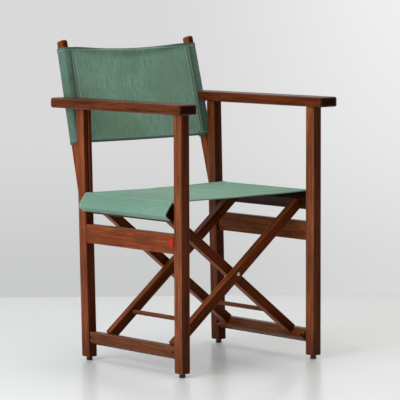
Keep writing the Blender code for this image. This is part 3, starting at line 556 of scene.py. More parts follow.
def fit(piece, node, body, material, angle=35):
    """Finish a hard piece and fit it to its body in place of the frame's plain one."""
    only(piece)
    bpy.ops.object.shade_smooth_by_angle(angle=math.radians(angle))
    paint(piece, material)
    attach(piece, body)
    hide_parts(node)


AXIS_TURN = {
    "x": Matrix.Rotation(math.radians(90), 4, "Y"),
    "-x": Matrix.Rotation(math.radians(-90), 4, "Y"),
    "y": Matrix.Rotation(math.radians(-90), 4, "X"),
    "-y": Matrix.Rotation(math.radians(90), 4, "X"),
}


# ================================================================ sheets of cloth
HEM_ROWS = 5                # points across the turned part of a hem
STITCH_LENGTH = 0.0034
STITCH_GAP = 0.0010
THREAD_RADIUS = 0.00055
STITCH_IN = 0.78            # where a hem's stitches run, as a share of its width
HEM_STATIONS = (0, 0.12, 0.4, 0.7, 0.94, 1.08)      # across a hem, as shares of its width


def arc(centre, radius, start, end, steps):
    """Points on an arc in a plane, from one angle to another, in degrees."""
    angles = [math.radians(start + (end - start) * i / steps) for i in range(steps + 1)]
    return [Vector((centre[0] + radius * math.cos(a), centre[1] + radius * math.sin(a)))
            for a in angles]


def spread(low, high, step):
    """Even stations from low to high, no further apart than step."""
    count = max(1, math.ceil((high - low) / step))
    return [low + (high - low) * i / count for i in range(count + 1)]


def hemmed(low, high, step):
    """Stations across a cloth with both edges hemmed: close together at each hem."""
    hem = settings("canvas").hem_width
    near = [share * hem for share in HEM_STATIONS]
    inner = spread(low + 1.5 * hem, high - 1.5 * hem, step)
    return [low + n for n in near] + inner + [high - n for n in reversed(near)]


def lengths(points):
    """Distance along a line of points, from its first."""
    total = [0.0]
    for a, b in zip(points, points[1:]):
        total.append(total[-1] + (b - a).length)
    return total


def cloth_mesh(name, grid, across, along):
    """A sheet from rows of points; across and along give each point's place in the cloth."""
    columns = len(grid[0])
    points = [point for row in grid for point in row]
    faces = [(r * columns + c, r * columns + c + 1, (r + 1) * columns + c + 1,
              (r + 1) * columns + c)
             for r in range(len(grid) - 1) for c in range(columns - 1)]
    mesh = bpy.data.meshes.new(name)
    mesh.from_pydata(points, [], faces)
    weave = mesh.uv_layers.new(name="weave")
    for loop in mesh.loops:
        row, column = divmod(loop.vertex_index, columns)
        weave.data[loop.index].uv = (across[column], along[row])
    return linked(name, mesh)


def mark_hems(obj, grid, hem_shades, column_shade):
    """Store where the hems are, for the thickness, and how dark each point is.

    hem_shades is the painted shade counting in from a hemmed edge; column_shade, a column's own.
    """
    rows, columns = len(grid), len(grid[0])
    thick, shades = [], []
    for index in range(rows * columns):
        row, column = divmod(index, columns)
        edge = min(row, rows - 1 - row)
        if edge < HEM_ROWS:
            thick.append(index)
        shades.append(max(hem_shades[edge] if edge < len(hem_shades) else 0.0,
                          column_shade(column)))
    obj.vertex_groups.new(name="hem").add(thick, 1.0, "REPLACE")
    # Each point's painted shade, which darkens the cloth's colour.
    dark = obj.data.attributes.new("painted_shade", "FLOAT", "POINT")
    dark.data.foreach_set("value", shades)


def thicken(obj):
    """Give a sheet its thickness, more at the hems, and soften it."""
    canvas = settings("canvas")
    solid = obj.modifiers.new("thickness", "SOLIDIFY")
    solid.thickness = canvas.hem_thickness
    solid.offset = 0
    solid.use_even_offset = True
    solid.vertex_group = "hem"
    solid.thickness_vertex_group = canvas.thickness / canvas.hem_thickness
    soften(obj, 0.3 * canvas.thickness)
    apply_all(obj)
    obj.vertex_groups.clear()
    obj.data.shade_smooth()


def stitch_shape():
    """One stitch along X: a short bar of thread whose ends dip into the cloth."""
    stitch = primitive(bpy.ops.mesh.primitive_cylinder_add, "stitch", vertices=6,
                       radius=THREAD_RADIUS, depth=STITCH_LENGTH,
                       rotation=(0, math.radians(90), 0))
    bpy.ops.object.transform_apply(location=True, rotation=True, scale=True)
    bpy.ops.object.mode_set(mode="EDIT")
    for share in (-0.25, 0.25):
        bpy.ops.mesh.select_all(action="SELECT")
        bpy.ops.mesh.bisect(plane_co=(share * STITCH_LENGTH, 0, 0), plane_no=(1, 0, 0))
    bpy.ops.object.mode_set(mode="OBJECT")
    for vertex in stitch.data.vertices:
        if abs(vertex.co.x) > 0.45 * STITCH_LENGTH:
            vertex.co.y *= 0.6
            vertex.co.z = vertex.co.z * 0.6 - THREAD_RADIUS
    mesh = stitch.data
    bpy.data.objects.remove(stitch)
    return mesh


def sew(name, seams):
    """Stitches along seams of (points, normals) that lie on the cloth."""
    shape = kept(stitch_shape)
    sewn = bmesh.new()
    for points, normals in seams:
        total = lengths(points)
        place = STITCH_GAP
        index = 0
        while place + STITCH_LENGTH < total[-1]:
            middle = place + STITCH_LENGTH / 2
            while total[index + 1] < middle:
                index += 1
            run = points[index + 1] - points[index]
            at = points[index] + run * ((middle - total[index]) / run.length)
            x = run.normalized()
            y = normals[index].cross(x).normalized()
            z = x.cross(y)
            turn = Matrix((x, y, z)).transposed().to_4x4()
            before = len(sewn.verts)
            sewn.from_mesh(shape)
            sewn.verts.ensure_lookup_table()
            move = Matrix.Translation(at + z * THREAD_RADIUS * 0.4) @ turn
            bmesh.ops.transform(sewn, matrix=move, verts=sewn.verts[before:])
            place += STITCH_LENGTH + STITCH_GAP
    mesh = bpy.data.meshes.new(name)
    sewn.to_mesh(mesh)
    sewn.free()
    mesh.shade_smooth()
    return paint(linked(name, mesh), kept(sewing_thread))


def station(stations, value):
    """Fractional index of a value in a rising list of stations."""
    for i, (a, b) in enumerate(zip(stations, stations[1:])):
        if value <= b:
            return i + (value - a) / (b - a)
    return len(stations) - 1


def seam(grid, stations, value, lift, outward, skip=0):
    """Points and normals of a line across a sheet's rows, raised to one face of the cloth.

    The line lies where the rows' stations reach the value.  Outward points away from
    the cloth on the face that is sewn, and skip is how many points are left off each end.
    """
    share = station(stations, value)
    low = min(int(share), len(grid) - 2)
    first, second = grid[low], grid[low + 1]
    points = [a.lerp(b, share - low) for a, b in zip(first, second)]
    last = len(points) - 1
    normals = [(points[min(i + 1, last)] - points[max(i - 1, 0)]).cross(b - a).normalized()
               for i, (a, b) in enumerate(zip(first, second))]
    third = len(points) // 3        # well inside the line, and on a round sleeve its outside
    if normals[third].dot(outward) < 0:
        normals = [-normal for normal in normals]
    inside = slice(skip, len(points) - skip)
    return [p + n * lift for p, n in zip(points, normals)][inside], normals[inside]


def turned(grid):
    """The same sheet with its columns as rows."""
    return list(zip(*grid))


# ================================================================ wood
# How light each board is in red, green and blue: partly each board's own colour, from its
# place in the log, and partly painted light and shade, as on the seat rails, painted nearly
# black to stand in for the shade under the canvas.
TONE_AND_PAINTED_LIGHT = {"armrest": (0.50, 0.47, 0.40), "seat_rail": (0.12, 0.12, 0.12),
        "front_leg_right": (1.0, 1.27, 1.45), "front_leg_left": (1.15, 1.55, 1.8),
        "rear_leg_right": (1.0, 1.12, 1.2), "rear_leg_left": (0.66, 0.75, 0.75),
        "upper_rail_right": (0.90, 0.87, 0.82), "upper_rail_left": (0.78, 0.95, 0.74),
        "lower_rail": (0.85, 1.12, 1.3), "back_post": (0.90, 0.95, 0.9),
        "stretcher": (0.75, 0.85, 0.8), "cross_leg": (1.05, 1.05, 0.65)}
# Painted shade: an armrest's dark colour, and with it its end faces, is painted far darker.
PAINTED_END_SHADE = {"armrest": 0.12}       # how light a board's ends are beside its tone
WOODEN = {
    "upright": ["front_leg", "rear_leg", "back_post", "arm_dowel_front", "arm_dowel_rear"],
    "level": ["upper_rail", "armrest", "lower_rail", "seat_rail", "stretcher"],
}


class CHAIR_OT_wood(bpy.types.Operator):
    """Stain and oil every wooden part, each board with its own grain"""
    bl_idname = "chair.wood"
    bl_label = "Oil the wood"

    def execute(self, context):
        boards = [(f"{kind}_{side}", kind, grain)
                  for grain, kinds in WOODEN.items() for kind in kinds for side in SIDES]
        boards += [(f"cross_leg_{end}_to_{rise}", "cross_leg", f"to_{rise}")
                   for rise in SIDES for end in ENDS]
        for seed, (node, kind, grain) in enumerate(boards, 1):
            tone_and_painted_light = TONE_AND_PAINTED_LIGHT.get(node, TONE_AND_PAINTED_LIGHT.get(kind, EVEN))
            ends = PAINTED_END_SHADE.get(kind, 1.0)
            repaint(node, oiled_hardwood("oiled_" + node, GRAIN[grain], seed, tone_and_painted_light, ends))
        dowels = oiled_hardwood("oiled_dowels", GRAIN["upright"], len(boards) + 1)
        for end, side in CORNERS:
            repaint(f"foot_dowel_{end}_{side}", dowels)
        return {"FINISHED"}


# ================================================================ metalwork
SHANK_RADIUS = 0.003        # crossing bolts
HEAD_RIM = 0.0006           # straight part of a bolt head under its dome
HEAD_LIFT = 0.0008          # how much taller the dome is than the frame's head
HEAD_GAP = 0.00005          # the head stands just clear of the leg
HEAD_SOCKET = 0.42          # the hexagon socket's radius, as a share of the head's
SOCKET_DEPTH = 0.003
THREAD_BORE = 0.0032        # inside a nut, opened out at both faces
MOUTH_BORE = 0.0042
WASHER_BORE = 0.0034
PIN_BORE = 0.0033           # hole for the pivot pin through a barrel nut
DRIVER_SLOT = (0.0013, 0.0024)      # width, and height of the cutter, half in the nut
SOFT_END = 0.0005           # rounding of a turned bar's ends
FOOT_PAD = 0.0097           # height of a foot's pad
FOOT_STEM = 0.003           # radius of the stem driven into the leg
FOOT_SIDE = [(0.90, 0.72), (0.93, 0.66), (1, 0.58), (1, 0.26), (0.985, 0.14), (0.94, 0.05),
             (0.86, 0)]     # down the pad, as shares of the foot's radius and the pad's height
FOOT_DIMPLE = [(0.004, 0), (0.0032, 0.0007), (0, 0.0009)]   # under the foot, from its rim
TAG_LIFT = 0.0012           # how far the tag's lower corners stand off the wood
TAG_FOLD = 0.0005           # thickness of the fold along its top
TAG_CUTS = 7


def dome(radius, height, steps=6):
    """Profile of a low domed head from its middle to its rim."""
    ball = (radius * radius + height * height) / (2 * height)
    widest = math.asin(radius / ball)
    angles = [widest * i / steps for i in range(steps + 1)]
    return [(ball * math.sin(a), ball * math.cos(a) - ball + height) for a in angles]


def rounded_bar(radius, length, edge=SOFT_END):
    """Profile of a round bar about Z, from 0 down to -length, with softened ends."""
    return [(0, 0), (radius - edge, 0), (radius - 0.3 * edge, -0.3 * edge), (radius, -edge),
            (radius, edge - length), (radius - 0.3 * edge, 0.3 * edge - length),
            (radius - edge, -length), (0, -length)]


def half_sizes(node):
    """Middle of a node's box, and half its sizes."""
    low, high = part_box(node)
    return (low + high) / 2, (high - low) / 2


def crossing_bolt(end):
    """Domed bolt with a hexagon socket, its head on the chair's outside."""
    way = ENDS[end]
    node = f"crossing_bolt_{end}"
    middle, half = half_sizes(node)
    leg_middle, leg_half = half_sizes(f"cross_leg_{end}_to_" + ("left" if way < 0 else "right"))
    face = leg_middle.y + way * leg_half.y
    head_radius = half.x
    head = abs(middle.y + way * half.y - face) + HEAD_LIFT
    shank = abs(middle.y - way * half.y - face)
    profile = [(r, z + HEAD_RIM) for r, z in dome(head_radius, head - HEAD_RIM)]
    profile += [(head_radius, 4 * HEAD_GAP), (head_radius - 8 * HEAD_GAP, HEAD_GAP),
                (SHANK_RADIUS, HEAD_GAP)]
    profile += rounded_bar(SHANK_RADIUS, shank)[4:]
    bolt = lathe(f"domed_bolt_{end}", profile, 48)
    socket = primitive(bpy.ops.mesh.primitive_cylinder_add, "socket", vertices=6,
                       radius=HEAD_SOCKET * head_radius, depth=SOCKET_DEPTH,
                       location=(0, 0, head))
    carve(bolt, socket)
    put(bolt, (0, face, CROSSING.z), AXIS_TURN["-y" if way < 0 else "y"])
    fit(bolt, node, "cross_to_left", brass())


def crossing_nut(end):
    """Hexagon nut with its corners turned off on both faces."""
    node = f"crossing_nut_{end}"
    middle, size = half_sizes(node)
    flats, half = size.z, size.y
    nut = primitive(bpy.ops.mesh.primitive_cylinder_add, f"hexagon_nut_{end}", vertices=6,
                    radius=flats, depth=2 * half)
    rim = 0.86 * flats
    corner = 1.02 * flats
    drop = 0.55 * (corner - rim)
    blank = lathe("blank", [(0, half), (rim, half), (corner, half - drop),
                            (corner, drop - half), (rim, -half), (0, -half)], 48)
    carve(nut, blank, "INTERSECT")
    flare = MOUTH_BORE - THREAD_BORE
    bore = lathe("bore", [(0, 2 * half), (MOUTH_BORE, 2 * half), (MOUTH_BORE, half),
                          (THREAD_BORE, half - flare), (THREAD_BORE, flare - half),
                          (MOUTH_BORE, -half), (MOUTH_BORE, -2 * half), (0, -2 * half)], 32)
    carve(nut, bore)
    put(nut, (0, middle.y, CROSSING.z), AXIS_TURN["y"])
    fit(nut, node, "cross_to_left", brass(), 25)


def crossing_washer(end):
    """Thin nylon washer with rounded rims."""
    node = f"crossing_washer_{end}"
    middle, size = half_sizes(node)
    inner, outer, half = WASHER_BORE, size.x, size.y
    edge = half * 0.6
    washer = lathe(f"nylon_washer_{end}", [
        (inner, half - edge), (inner + edge, half), (outer - edge, half), (outer, half - edge),
        (outer, edge - half), (outer - edge, -half), (inner + edge, -half),
        (inner, edge - half), (inner, half - edge)], 48)
    put(washer, (0, middle.y, CROSSING.z), AXIS_TURN["y"])
    fit(washer, node, "cross_to_left", kept(moulded_nylon))


class CHAIR_OT_crossing_bolts(bpy.types.Operator):
    """Make the bolts, nuts and washers where the legs cross"""
    bl_idname = "chair.crossing_bolts"
    bl_label = "Fit the crossing bolts"

    def execute(self, context):
        for end in ENDS:
            crossing_bolt(end)
            crossing_nut(end)
            crossing_washer(end)
        return {"FINISHED"}


def barrel_nut(end, side_name):
    """Slotted barrel nut let into the lower rail, flush with its outer face."""
    side = SIDES[side_name]
    node = f"cross_dowel_{end}_{side_name}"
    middle, half = half_sizes(node)
    radius, length = half.z, 2 * half.x
    nut = lathe(f"barrel_nut_{end}_{side_name}", rounded_bar(radius, length), 32)
    slot = primitive(bpy.ops.mesh.primitive_cube_add, "slot", size=1)
    slot.scale = (DRIVER_SLOT[0], 3 * radius, DRIVER_SLOT[1])
    carve(nut, slot)
    pin_hole = primitive(bpy.ops.mesh.primitive_cylinder_add, "pin_hole", vertices=24,
                         radius=PIN_BORE, depth=4 * radius, location=(0, 0, radius - length),
                         rotation=(math.radians(90), 0, 0))
    carve(nut, pin_hole)
    put(nut, middle + Vector((side * half.x, 0, 0)), AXIS_TURN["-x" if side < 0 else "x"])
    body = "cross_to_left" if side < 0 else "cross_to_right"
    fit(nut, node, body, steel())


def round_pin(node, axis, body):
    """Plain pin with softened ends in place of the frame's."""
    middle, half = half_sizes(node)
    length = 2 * half["xyz".index(axis)]
    pin = lathe("steel_" + node, rounded_bar(half.z, length, 1.2 * SOFT_END), 32)
    put(pin, middle, AXIS_TURN[axis] @ Matrix.Translation((0, 0, length / 2)))
    fit(pin, node, body, steel())


class CHAIR_OT_pins(bpy.types.Operator):
    """Make the barrel nuts and pins that the lower rails turn on, and the posts' pins"""
    bl_idname = "chair.pins"
    bl_label = "Fit the pins and barrel nuts"

    def execute(self, context):
        for side in SIDES:
            round_pin(f"post_pin_{side}", "x", f"{side}_side")
            for end in ENDS:
                barrel_nut(end, side)
                round_pin(f"pivot_pin_{end}_{side}", "y", f"{side}_side")
                repaint(f"seat_rail_screw_{end}_{side}", steel())
        return {"FINISHED"}


def nylon_foot(end, side):
    """Turned foot: a softly rounded pad under a narrower neck, with a driven stem."""
    node = f"glide_{end}_{side}"
    middle, half = half_sizes(node)
    radius, top = half.x, middle.z + half.z
    profile = [(0, top), (0.7 * FOOT_STEM, top), (FOOT_STEM, top - 0.001), (FOOT_STEM, FOOT_PAD),
               (0.86 * radius, FOOT_PAD), (0.90 * radius, FOOT_PAD - 0.0004)]
    profile += [(radius * across, FOOT_PAD * up) for across, up in FOOT_SIDE] + FOOT_DIMPLE
    foot = lathe(f"nylon_foot_{end}_{side}", profile, 48)
    put(foot, (middle.x, middle.y, 0))
    fit(foot, node, f"{side}_side", kept(moulded_nylon))


class CHAIR_OT_feet(bpy.types.Operator):
    """Make the four moulded feet"""
    bl_idname = "chair.feet"
    bl_label = "Fit the feet"

    def execute(self, context):
        for end, side in CORNERS:
            nylon_foot(end, side)
        return {"FINISHED"}


class CHAIR_OT_red_tag(bpy.types.Operator):
    """Make the plain red tape tag on the right upper rail"""
    bl_idname = "chair.red_tag"
    bl_label = "Sew on the tag"

    def execute(self, context):
        low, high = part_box("red_tag")
        size = high - low
        middle = (low + high) / 2
        tag = primitive(bpy.ops.mesh.primitive_cube_add, "woven_red_tag", size=1,
                        location=middle)
        tag.scale = size
        bpy.ops.object.transform_apply(location=True, rotation=True, scale=True)
        bpy.ops.object.mode_set(mode="EDIT")
        bpy.ops.mesh.select_all(action="SELECT")
        bpy.ops.mesh.subdivide(number_cuts=TAG_CUTS)
        bpy.ops.object.mode_set(mode="OBJECT")
        for vertex in tag.data.vertices:
            # The lower corners lift off the wood, and the top edge is folded thick.
            down = (high.z - vertex.co.z) / size.z
            off = abs(vertex.co.y - middle.y) / size.y * 2
            vertex.co.x -= TAG_LIFT * down ** 3 * (0.4 + 0.6 * off ** 2)
            if down < 0.16 and vertex.co.x < low.x + 0.3 * size.x:
                vertex.co.x -= TAG_FOLD
            vertex.co.y = middle.y + (vertex.co.y - middle.y) * (1 - 0.06 * math.sin(3 * down))
        soften(tag, 0.2 * MM)
        apply_all(tag)
        fit(tag, "red_tag", "right_side", kept(woven_tape))
        return {"FINISHED"}


# ================================================================ seat
SEAT_STEP = 0.006           # between the points of the cloth
RAIL_EDGE = 0.004           # rounding of the seat rails' long edges
RAIL_GAP = 0.0003           # between the canvas and the wood
LOOSE = 0.0009              # how much further off it lies on the rail's top edge
BULGE = 0.0008              # of the canvas on the rail's outer face
RAIL_HEIGHT = 0.42          # about the middle of the rails
LEVEL_END = 0.004           # from the last level point to the crease
UNDER_RAIL = 0.016          # canvas turned under each rail
EDGE_DRAW = 0.0045          # how far the free edges are drawn in
SLACK_FOLD = 0.0008         # height of the folds that run from the corners
FOLD_TURNS = 38             # radians to a metre across those folds
FOLD_LEAN = 0.55            # how far they lean from straight across
HEM_PULL = 0.45             # how much less the seat sags at its hems, as a share
CRUMPLE = 0.0011            # height of the soft unevenness between the rails
CRUMPLE_SIDE = 0.0005       # and round the rails
# Painted shade: along the seat's hems, and on the canvas where it turns round the rails.
SEAT_HEM = (0.55, 0.3, 0.1, 0.06, 0.22, 0.05)       # darkness, row by row in from the edge
SEAT_SIDE_SHADE = 0.4             # darkness of the canvas round the rails


def seat_section():
    """Line of the seat canvas across the chair, from under one rail to under the other."""
    place = left_leg_place()
    low, high = box_in("seat_rail_left", place)
    tight = RAIL_EDGE + RAIL_GAP + settings("canvas").hem_thickness / 2
    top = Vector((high.x - RAIL_EDGE, high.z - RAIL_EDGE))
    bottom = Vector((high.x - RAIL_EDGE, low.z + RAIL_EDGE))
    level = math.degrees(LEG_SLOPE)     # the world's level, seen along the leg
    wrap = arc(top, tight + LOOSE, 90 - level, 0, 8)
    face_high, face_low = wrap[-1], bottom + Vector((tight, 0))
    face = [face_high.lerp(face_low, i / 9) + Vector((BULGE * math.sin(math.pi * i / 9), 0))
            for i in range(1, 9)]
    turn = arc(bottom, tight, 0, -90, 8)
    under = [turn[-1] + Vector((-UNDER_RAIL * i / 3, 0)) for i in (1, 2, 3)]
    points = [place @ Vector((p.x, 0, p.y)) for p in wrap + face + turn + under]
    corner = Vector((points[0].x, points[0].z))
    half = [Vector((x, corner.y)) for x in spread(0, corner.x - LEVEL_END, SEAT_STEP)]
    half += [Vector((point.x, point.z)) for point in points]
    return [Vector((-p.x, p.y)) for p in reversed(half[1:])] + half, corner


def seat_point(section, corner, y, middle, half_depth):
    """Point of the seat canvas: it sags between the rails, and is soft at its creases."""
    off_middle = (y - middle) / half_depth
    share = min(1.0, abs(section.x) / corner.x)
    point = Vector((section.x, y, section.y))
    between = 1 - share * share if section.y >= corner.y - 0.1 * MM else 0.0
    if between == 0:
        outward = Vector((section.x, 0, section.y - RAIL_HEIGHT)).normalized()
        uneven = noise.noise(Vector((y * 45, section.y * 60, 8.0)))
        return point + outward * CRUMPLE_SIDE * uneven
    point.z -= settings("canvas").seat_sag * between * (1 - HEM_PULL * off_middle ** 4)
    # The free edges are drawn in, and a few slack folds run from the corners.
    point.y -= EDGE_DRAW * between * off_middle ** 3
    fold = math.sin(FOLD_TURNS * (section.x + FOLD_LEAN * (y - middle)) + 0.6)
    point.z -= SLACK_FOLD * between * share * fold * abs(off_middle)
    point.z += CRUMPLE * between * noise.noise(Vector((section.x * 16, y * 9, 3.1)))
    return point


class CHAIR_OT_seat_canvas(bpy.types.Operator):
    """Stretch the seat canvas over both seat rails, and sew its hems"""
    bl_idname = "chair.seat_canvas"
    bl_label = "Stretch the seat"

    def execute(self, context):
        canvas = settings("canvas")
        low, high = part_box("seat_rail_left")
        section, corner = seat_section()
        rows = hemmed(low.y, high.y, SEAT_STEP)
        middle, half_depth = (low.y + high.y) / 2, (high.y - low.y) / 2
        grid = [[seat_point(p, corner, y, middle, half_depth) for p in section] for y in rows]
        path = lengths(section)
        seat = cloth_mesh("seat_canvas", grid, path, rows)

        def side_shade(column):
            return SEAT_SIDE_SHADE if abs(section[column].x) > corner.x + LEVEL_END else 0.0

        mark_hems(seat, grid, SEAT_HEM, side_shade)
        thicken(seat)
        # Painted light: the seat is painted a little lighter than the cloth's colour.
        paint(seat, cotton_canvas("cotton_duck_seat", seed=2.0, tone_and_painted_light=1.06, uneven=0.5))
        inset = STITCH_IN * canvas.hem_width
        seams = sew("seat_hem_stitches", [
            seam(grid, rows, y, canvas.hem_thickness / 2, Vector((0, 0, 1)))
            for y in (low.y + inset, high.y - inset)])
        for piece in (seat, seams):
            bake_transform(piece)
        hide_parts("seat_panel", "seat_wrap_right", "seat_wrap_left")
        return {"FINISHED"}


# ================================================================ back
SLEEVE_STEP = 0.007         # between the points of the cloth
PANEL_STEP = 0.0065
FLAP = 0.0105               # flat seam beside the post, where the sleeve is sewn shut
FLAP_DEPTH = 0.0020         # how far the flap lies behind the sleeve's front
TUCK = 0.0065               # how far the panel reaches into the flap
SECOND_ROW = 0.0112         # the panel's own row of stitches, in from its edge
OUTER_ROUND = 0.0062        # of the sleeve round the post's outer edges
REAR_ROUND = 0.0052         # and round its inner rear edge
SWELL = 0.0005              # unevenness of the sleeve
RIPPLE = 0.0022             # and of the panel
HANG_FRAMES = 36
IN_SEAM = 4                 # points at each end of the sleeve's loop that are sewn flat
IN_FLAP = 3                 # columns of the panel's points that the flap holds at each side
# Painted shade: along the sleeves' hems, and in the crease where the flap meets the sleeve.
SLEEVE_HEM = (0.6, 0.35, 0.15, 0.1, 0.25, 0.05)     # darkness, row by row in from the edge
SLEEVE_CREASE_SHADE = 0.45        # darkness of the crease where the flap meets the sleeve
# Painted shade: along the panel's hems, and beside the flaps, where it curves round the posts.
PANEL_HEM = (1.0, 1.0, 0.7, 0.1, 0.3, 0.05)
PANEL_SIDE_SHADE = 0.16           # darkness beside the flaps, which fades out over some columns
PANEL_SIDE_COLUMNS = 11


def sleeve_section(half_x, half_y):
    """Closed loop round a post and its flap, in the post's frame, inboard towards +X."""
    front = FLAP_DEPTH - half_y         # of the flap
    rear = front + 2.1 * settings("canvas").thickness
    points = [(half_x + FLAP * share, front) for share in (1, 0.7, 0.4)]
    points += [(half_x + 0.002, front - 0.0003), (half_x - 0.003, 0.0004 - half_y)]
    points += [(x, -half_y) for x in (0.3 * half_x, -0.3 * half_x)]
    points += arc((OUTER_ROUND - half_x, OUTER_ROUND - half_y), OUTER_ROUND, 270, 180, 6)
    points += [(-half_x, y) for y in (-0.2 * half_y, 0.2 * half_y)]
    points += arc((OUTER_ROUND - half_x, half_y - OUTER_ROUND), OUTER_ROUND, 180, 90, 6)
    points += [(x, half_y) for x in (-0.2 * half_x, 0.3 * half_x)]
    points += arc((half_x - REAR_ROUND, half_y - REAR_ROUND), REAR_ROUND, 90, 0, 5)
    points += [(half_x + 0.0002, y) for y in (0.3 * half_y, -0.3 * half_y)]
    points += [(half_x + 0.0008, rear + 0.004), (half_x + 0.003, rear + 0.0008)]
    points += [(half_x + FLAP * share, rear) for share in (0.4, 0.7, 1)]
    return [Vector(point) for point in points]


def sleeve_sizes(side_name):
    """A post's frame, half the sleeve's width and depth, and its lower and upper ends."""
    place = post_place(side_name)
    low, high = box_in(f"back_sleeve_{side_name}", place)
    layer = settings("canvas").hem_thickness / 2
    return place, high.x - layer, high.y - layer, low.z, high.z


class CHAIR_OT_back_sleeves(bpy.types.Operator):
    """Wrap the sleeves of the back canvas round the posts, with their flat seams"""
    bl_idname = "chair.back_sleeves"
    bl_label = "Sew the sleeves"

    def execute(self, context):
        canvas = settings("canvas")
        inset = STITCH_IN * canvas.hem_width
        for side_name, side in SIDES.items():
            place, half_x, half_y, bottom, top = sleeve_sizes(side_name)
            section = sleeve_section(half_x, half_y)
            rows = hemmed(bottom, top, SLEEVE_STEP)
            loose = range(IN_SEAM, len(section) - IN_SEAM)
            grid = []
            for z in rows:
                row = []
                for i, p in enumerate(section):
                    swell = noise.noise(Vector((i * 0.23, z * 34, 4.0 + side)))
                    out = p + p.normalized() * SWELL * swell if i in loose else p
                    row.append(place @ Vector((-side * out.x, out.y, z)))
                grid.append(row)
            path = lengths(section)
            name = f"back_sleeve_canvas_{side_name}"
            sleeve = cloth_mesh(name, grid, path, rows)
            mark_hems(sleeve, grid, SLEEVE_HEM,
                      lambda column: SLEEVE_CREASE_SHADE if column in (3, 4) else 0.0)
            thicken(sleeve)
            # Painted shade: the sleeves are the same cloth, painted much darker.
            paint(sleeve, cotton_canvas("cotton_duck_" + name, seed=5.0 + side, tone_and_painted_light=0.46))
            turn = place.to_3x3()
            front, outside = turn @ Vector((0, -1, 0)), turn @ Vector((side, 0, 0))
            lines = [seam(turned(grid), path, 0.4 * FLAP, canvas.thickness / 2, front)]
            lines += [seam(grid, rows, z, canvas.hem_thickness / 2, outside)
                      for z in (bottom + inset, top - inset)]
            seams = sew(f"back_sleeve_stitches_{side_name}", lines)
            for piece in (sleeve, seams):
                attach(piece, f"{side_name}_side")
            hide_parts(f"back_sleeve_{side_name}")
        return {"FINISHED"}


def back_grid():
    """Flat rows of the back panel between the two flaps, and its stations."""
    edges = {}
    for side_name, side in SIDES.items():
        place, half_x, half_y, bottom, top = sleeve_sizes(side_name)
        depth = FLAP_DEPTH - half_y + 1.05 * settings("canvas").thickness
        inner = -side * (half_x + FLAP - TUCK)
        edges[side_name] = [place @ Vector((inner, depth, z)) for z in (bottom, top)]
    (right_low, right_high), (left_low, left_high) = edges["right"], edges["left"]
    height = (left_high - left_low).length
    width = (left_low - right_low).length
    rows = hemmed(0, height, PANEL_STEP)
    columns = spread(0, width, PANEL_STEP)
    grid = []
    for z in rows:
        right = right_low.lerp(right_high, z / height)
        left = left_low.lerp(left_high, z / height)
        grid.append([right.lerp(left, x / width) for x in columns])
    return grid, columns, rows


def hang(obj, held, slack):
    """Let a sheet settle under its own weight, held fast at some of its points."""
    obj.vertex_groups.new(name="held").add(held, 1.0, "REPLACE")
    cloth = obj.modifiers.new("hang", "CLOTH")
    behaviour = {"quality": 8, "mass": 0.25, "tension_stiffness": 400,
                 "compression_stiffness": 200, "shear_stiffness": 80, "bending_stiffness": 4,
                 "tension_damping": 25, "compression_damping": 25, "shear_damping": 25,
                 "air_damping": 3, "vertex_group_mass": "held", "shrink_min": -slack,
                 "shrink_max": -slack}
    for name, value in behaviour.items():
        setattr(cloth.settings, name, value)
    cloth.collision_settings.use_collision = False
    cloth.point_cache.frame_end = HANG_FRAMES
    scene = bpy.context.scene
    for step in range(1, HANG_FRAMES + 1):
        scene.frame_set(step)
    only(obj)
    bpy.ops.object.modifier_apply(modifier="hang")
    scene.frame_set(1)


class CHAIR_OT_back_canvas(bpy.types.Operator):
    """Hang the back canvas between the posts, and sew its hems"""
    bl_idname = "chair.back_canvas"
    bl_label = "Hang the back"

    def execute(self, context):
        canvas = settings("canvas")
        grid, columns, rows = back_grid()
        panel = cloth_mesh("back_canvas", grid, columns, rows)
        wide = len(columns)
        in_flaps = [vertex.index for vertex in panel.data.vertices
                    if not IN_FLAP <= vertex.index % wide < wide - IN_FLAP]
        hang(panel, in_flaps, canvas.slack)
        for vertex in panel.data.vertices:
            between = math.sin(math.pi * (vertex.index % wide) / (wide - 1))
            vertex.co.y += RIPPLE * between * noise.noise(vertex.co * 9)
        points = [v.co.copy() for v in panel.data.vertices]
        grid = [points[r * wide:(r + 1) * wide] for r in range(len(rows))]

        def flap_shade(column):
            from_side = min(column, wide - 1 - column)
            return max(0.0, PANEL_SIDE_SHADE * (1 - from_side / PANEL_SIDE_COLUMNS))

        mark_hems(panel, grid, PANEL_HEM, flap_shade)
        thicken(panel)
        # Painted shade: the panel is the same cloth, painted a little darker.
        paint(panel, cotton_canvas("cotton_duck_back", seed=9.0, tone_and_painted_light=0.82))
        inset = STITCH_IN * canvas.hem_width
        front = Vector((0, -1, 0))
        lines = [seam(grid, rows, z, canvas.hem_thickness / 2, front, skip=3)
                 for z in (inset, rows[-1] - inset)]
        lines += [seam(turned(grid), columns, x, canvas.thickness / 2, front, skip=5)
                  for x in (SECOND_ROW, columns[-1] - SECOND_ROW)]
        seams = sew("back_hem_stitches", lines)
        # When the chair folds, the left side moves in beside the right one, and the real panel
        # gathers between the free ends of the two flaps; here the panel and its stitches only go
        # with the right side.  The posts lean in, so the gap is narrowest at the top and the
        # panel widest at the bottom.
        for piece in (panel, seams):
            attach(piece, "right_side")
            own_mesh(piece)
        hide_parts("back_panel")
        return {"FINISHED"}


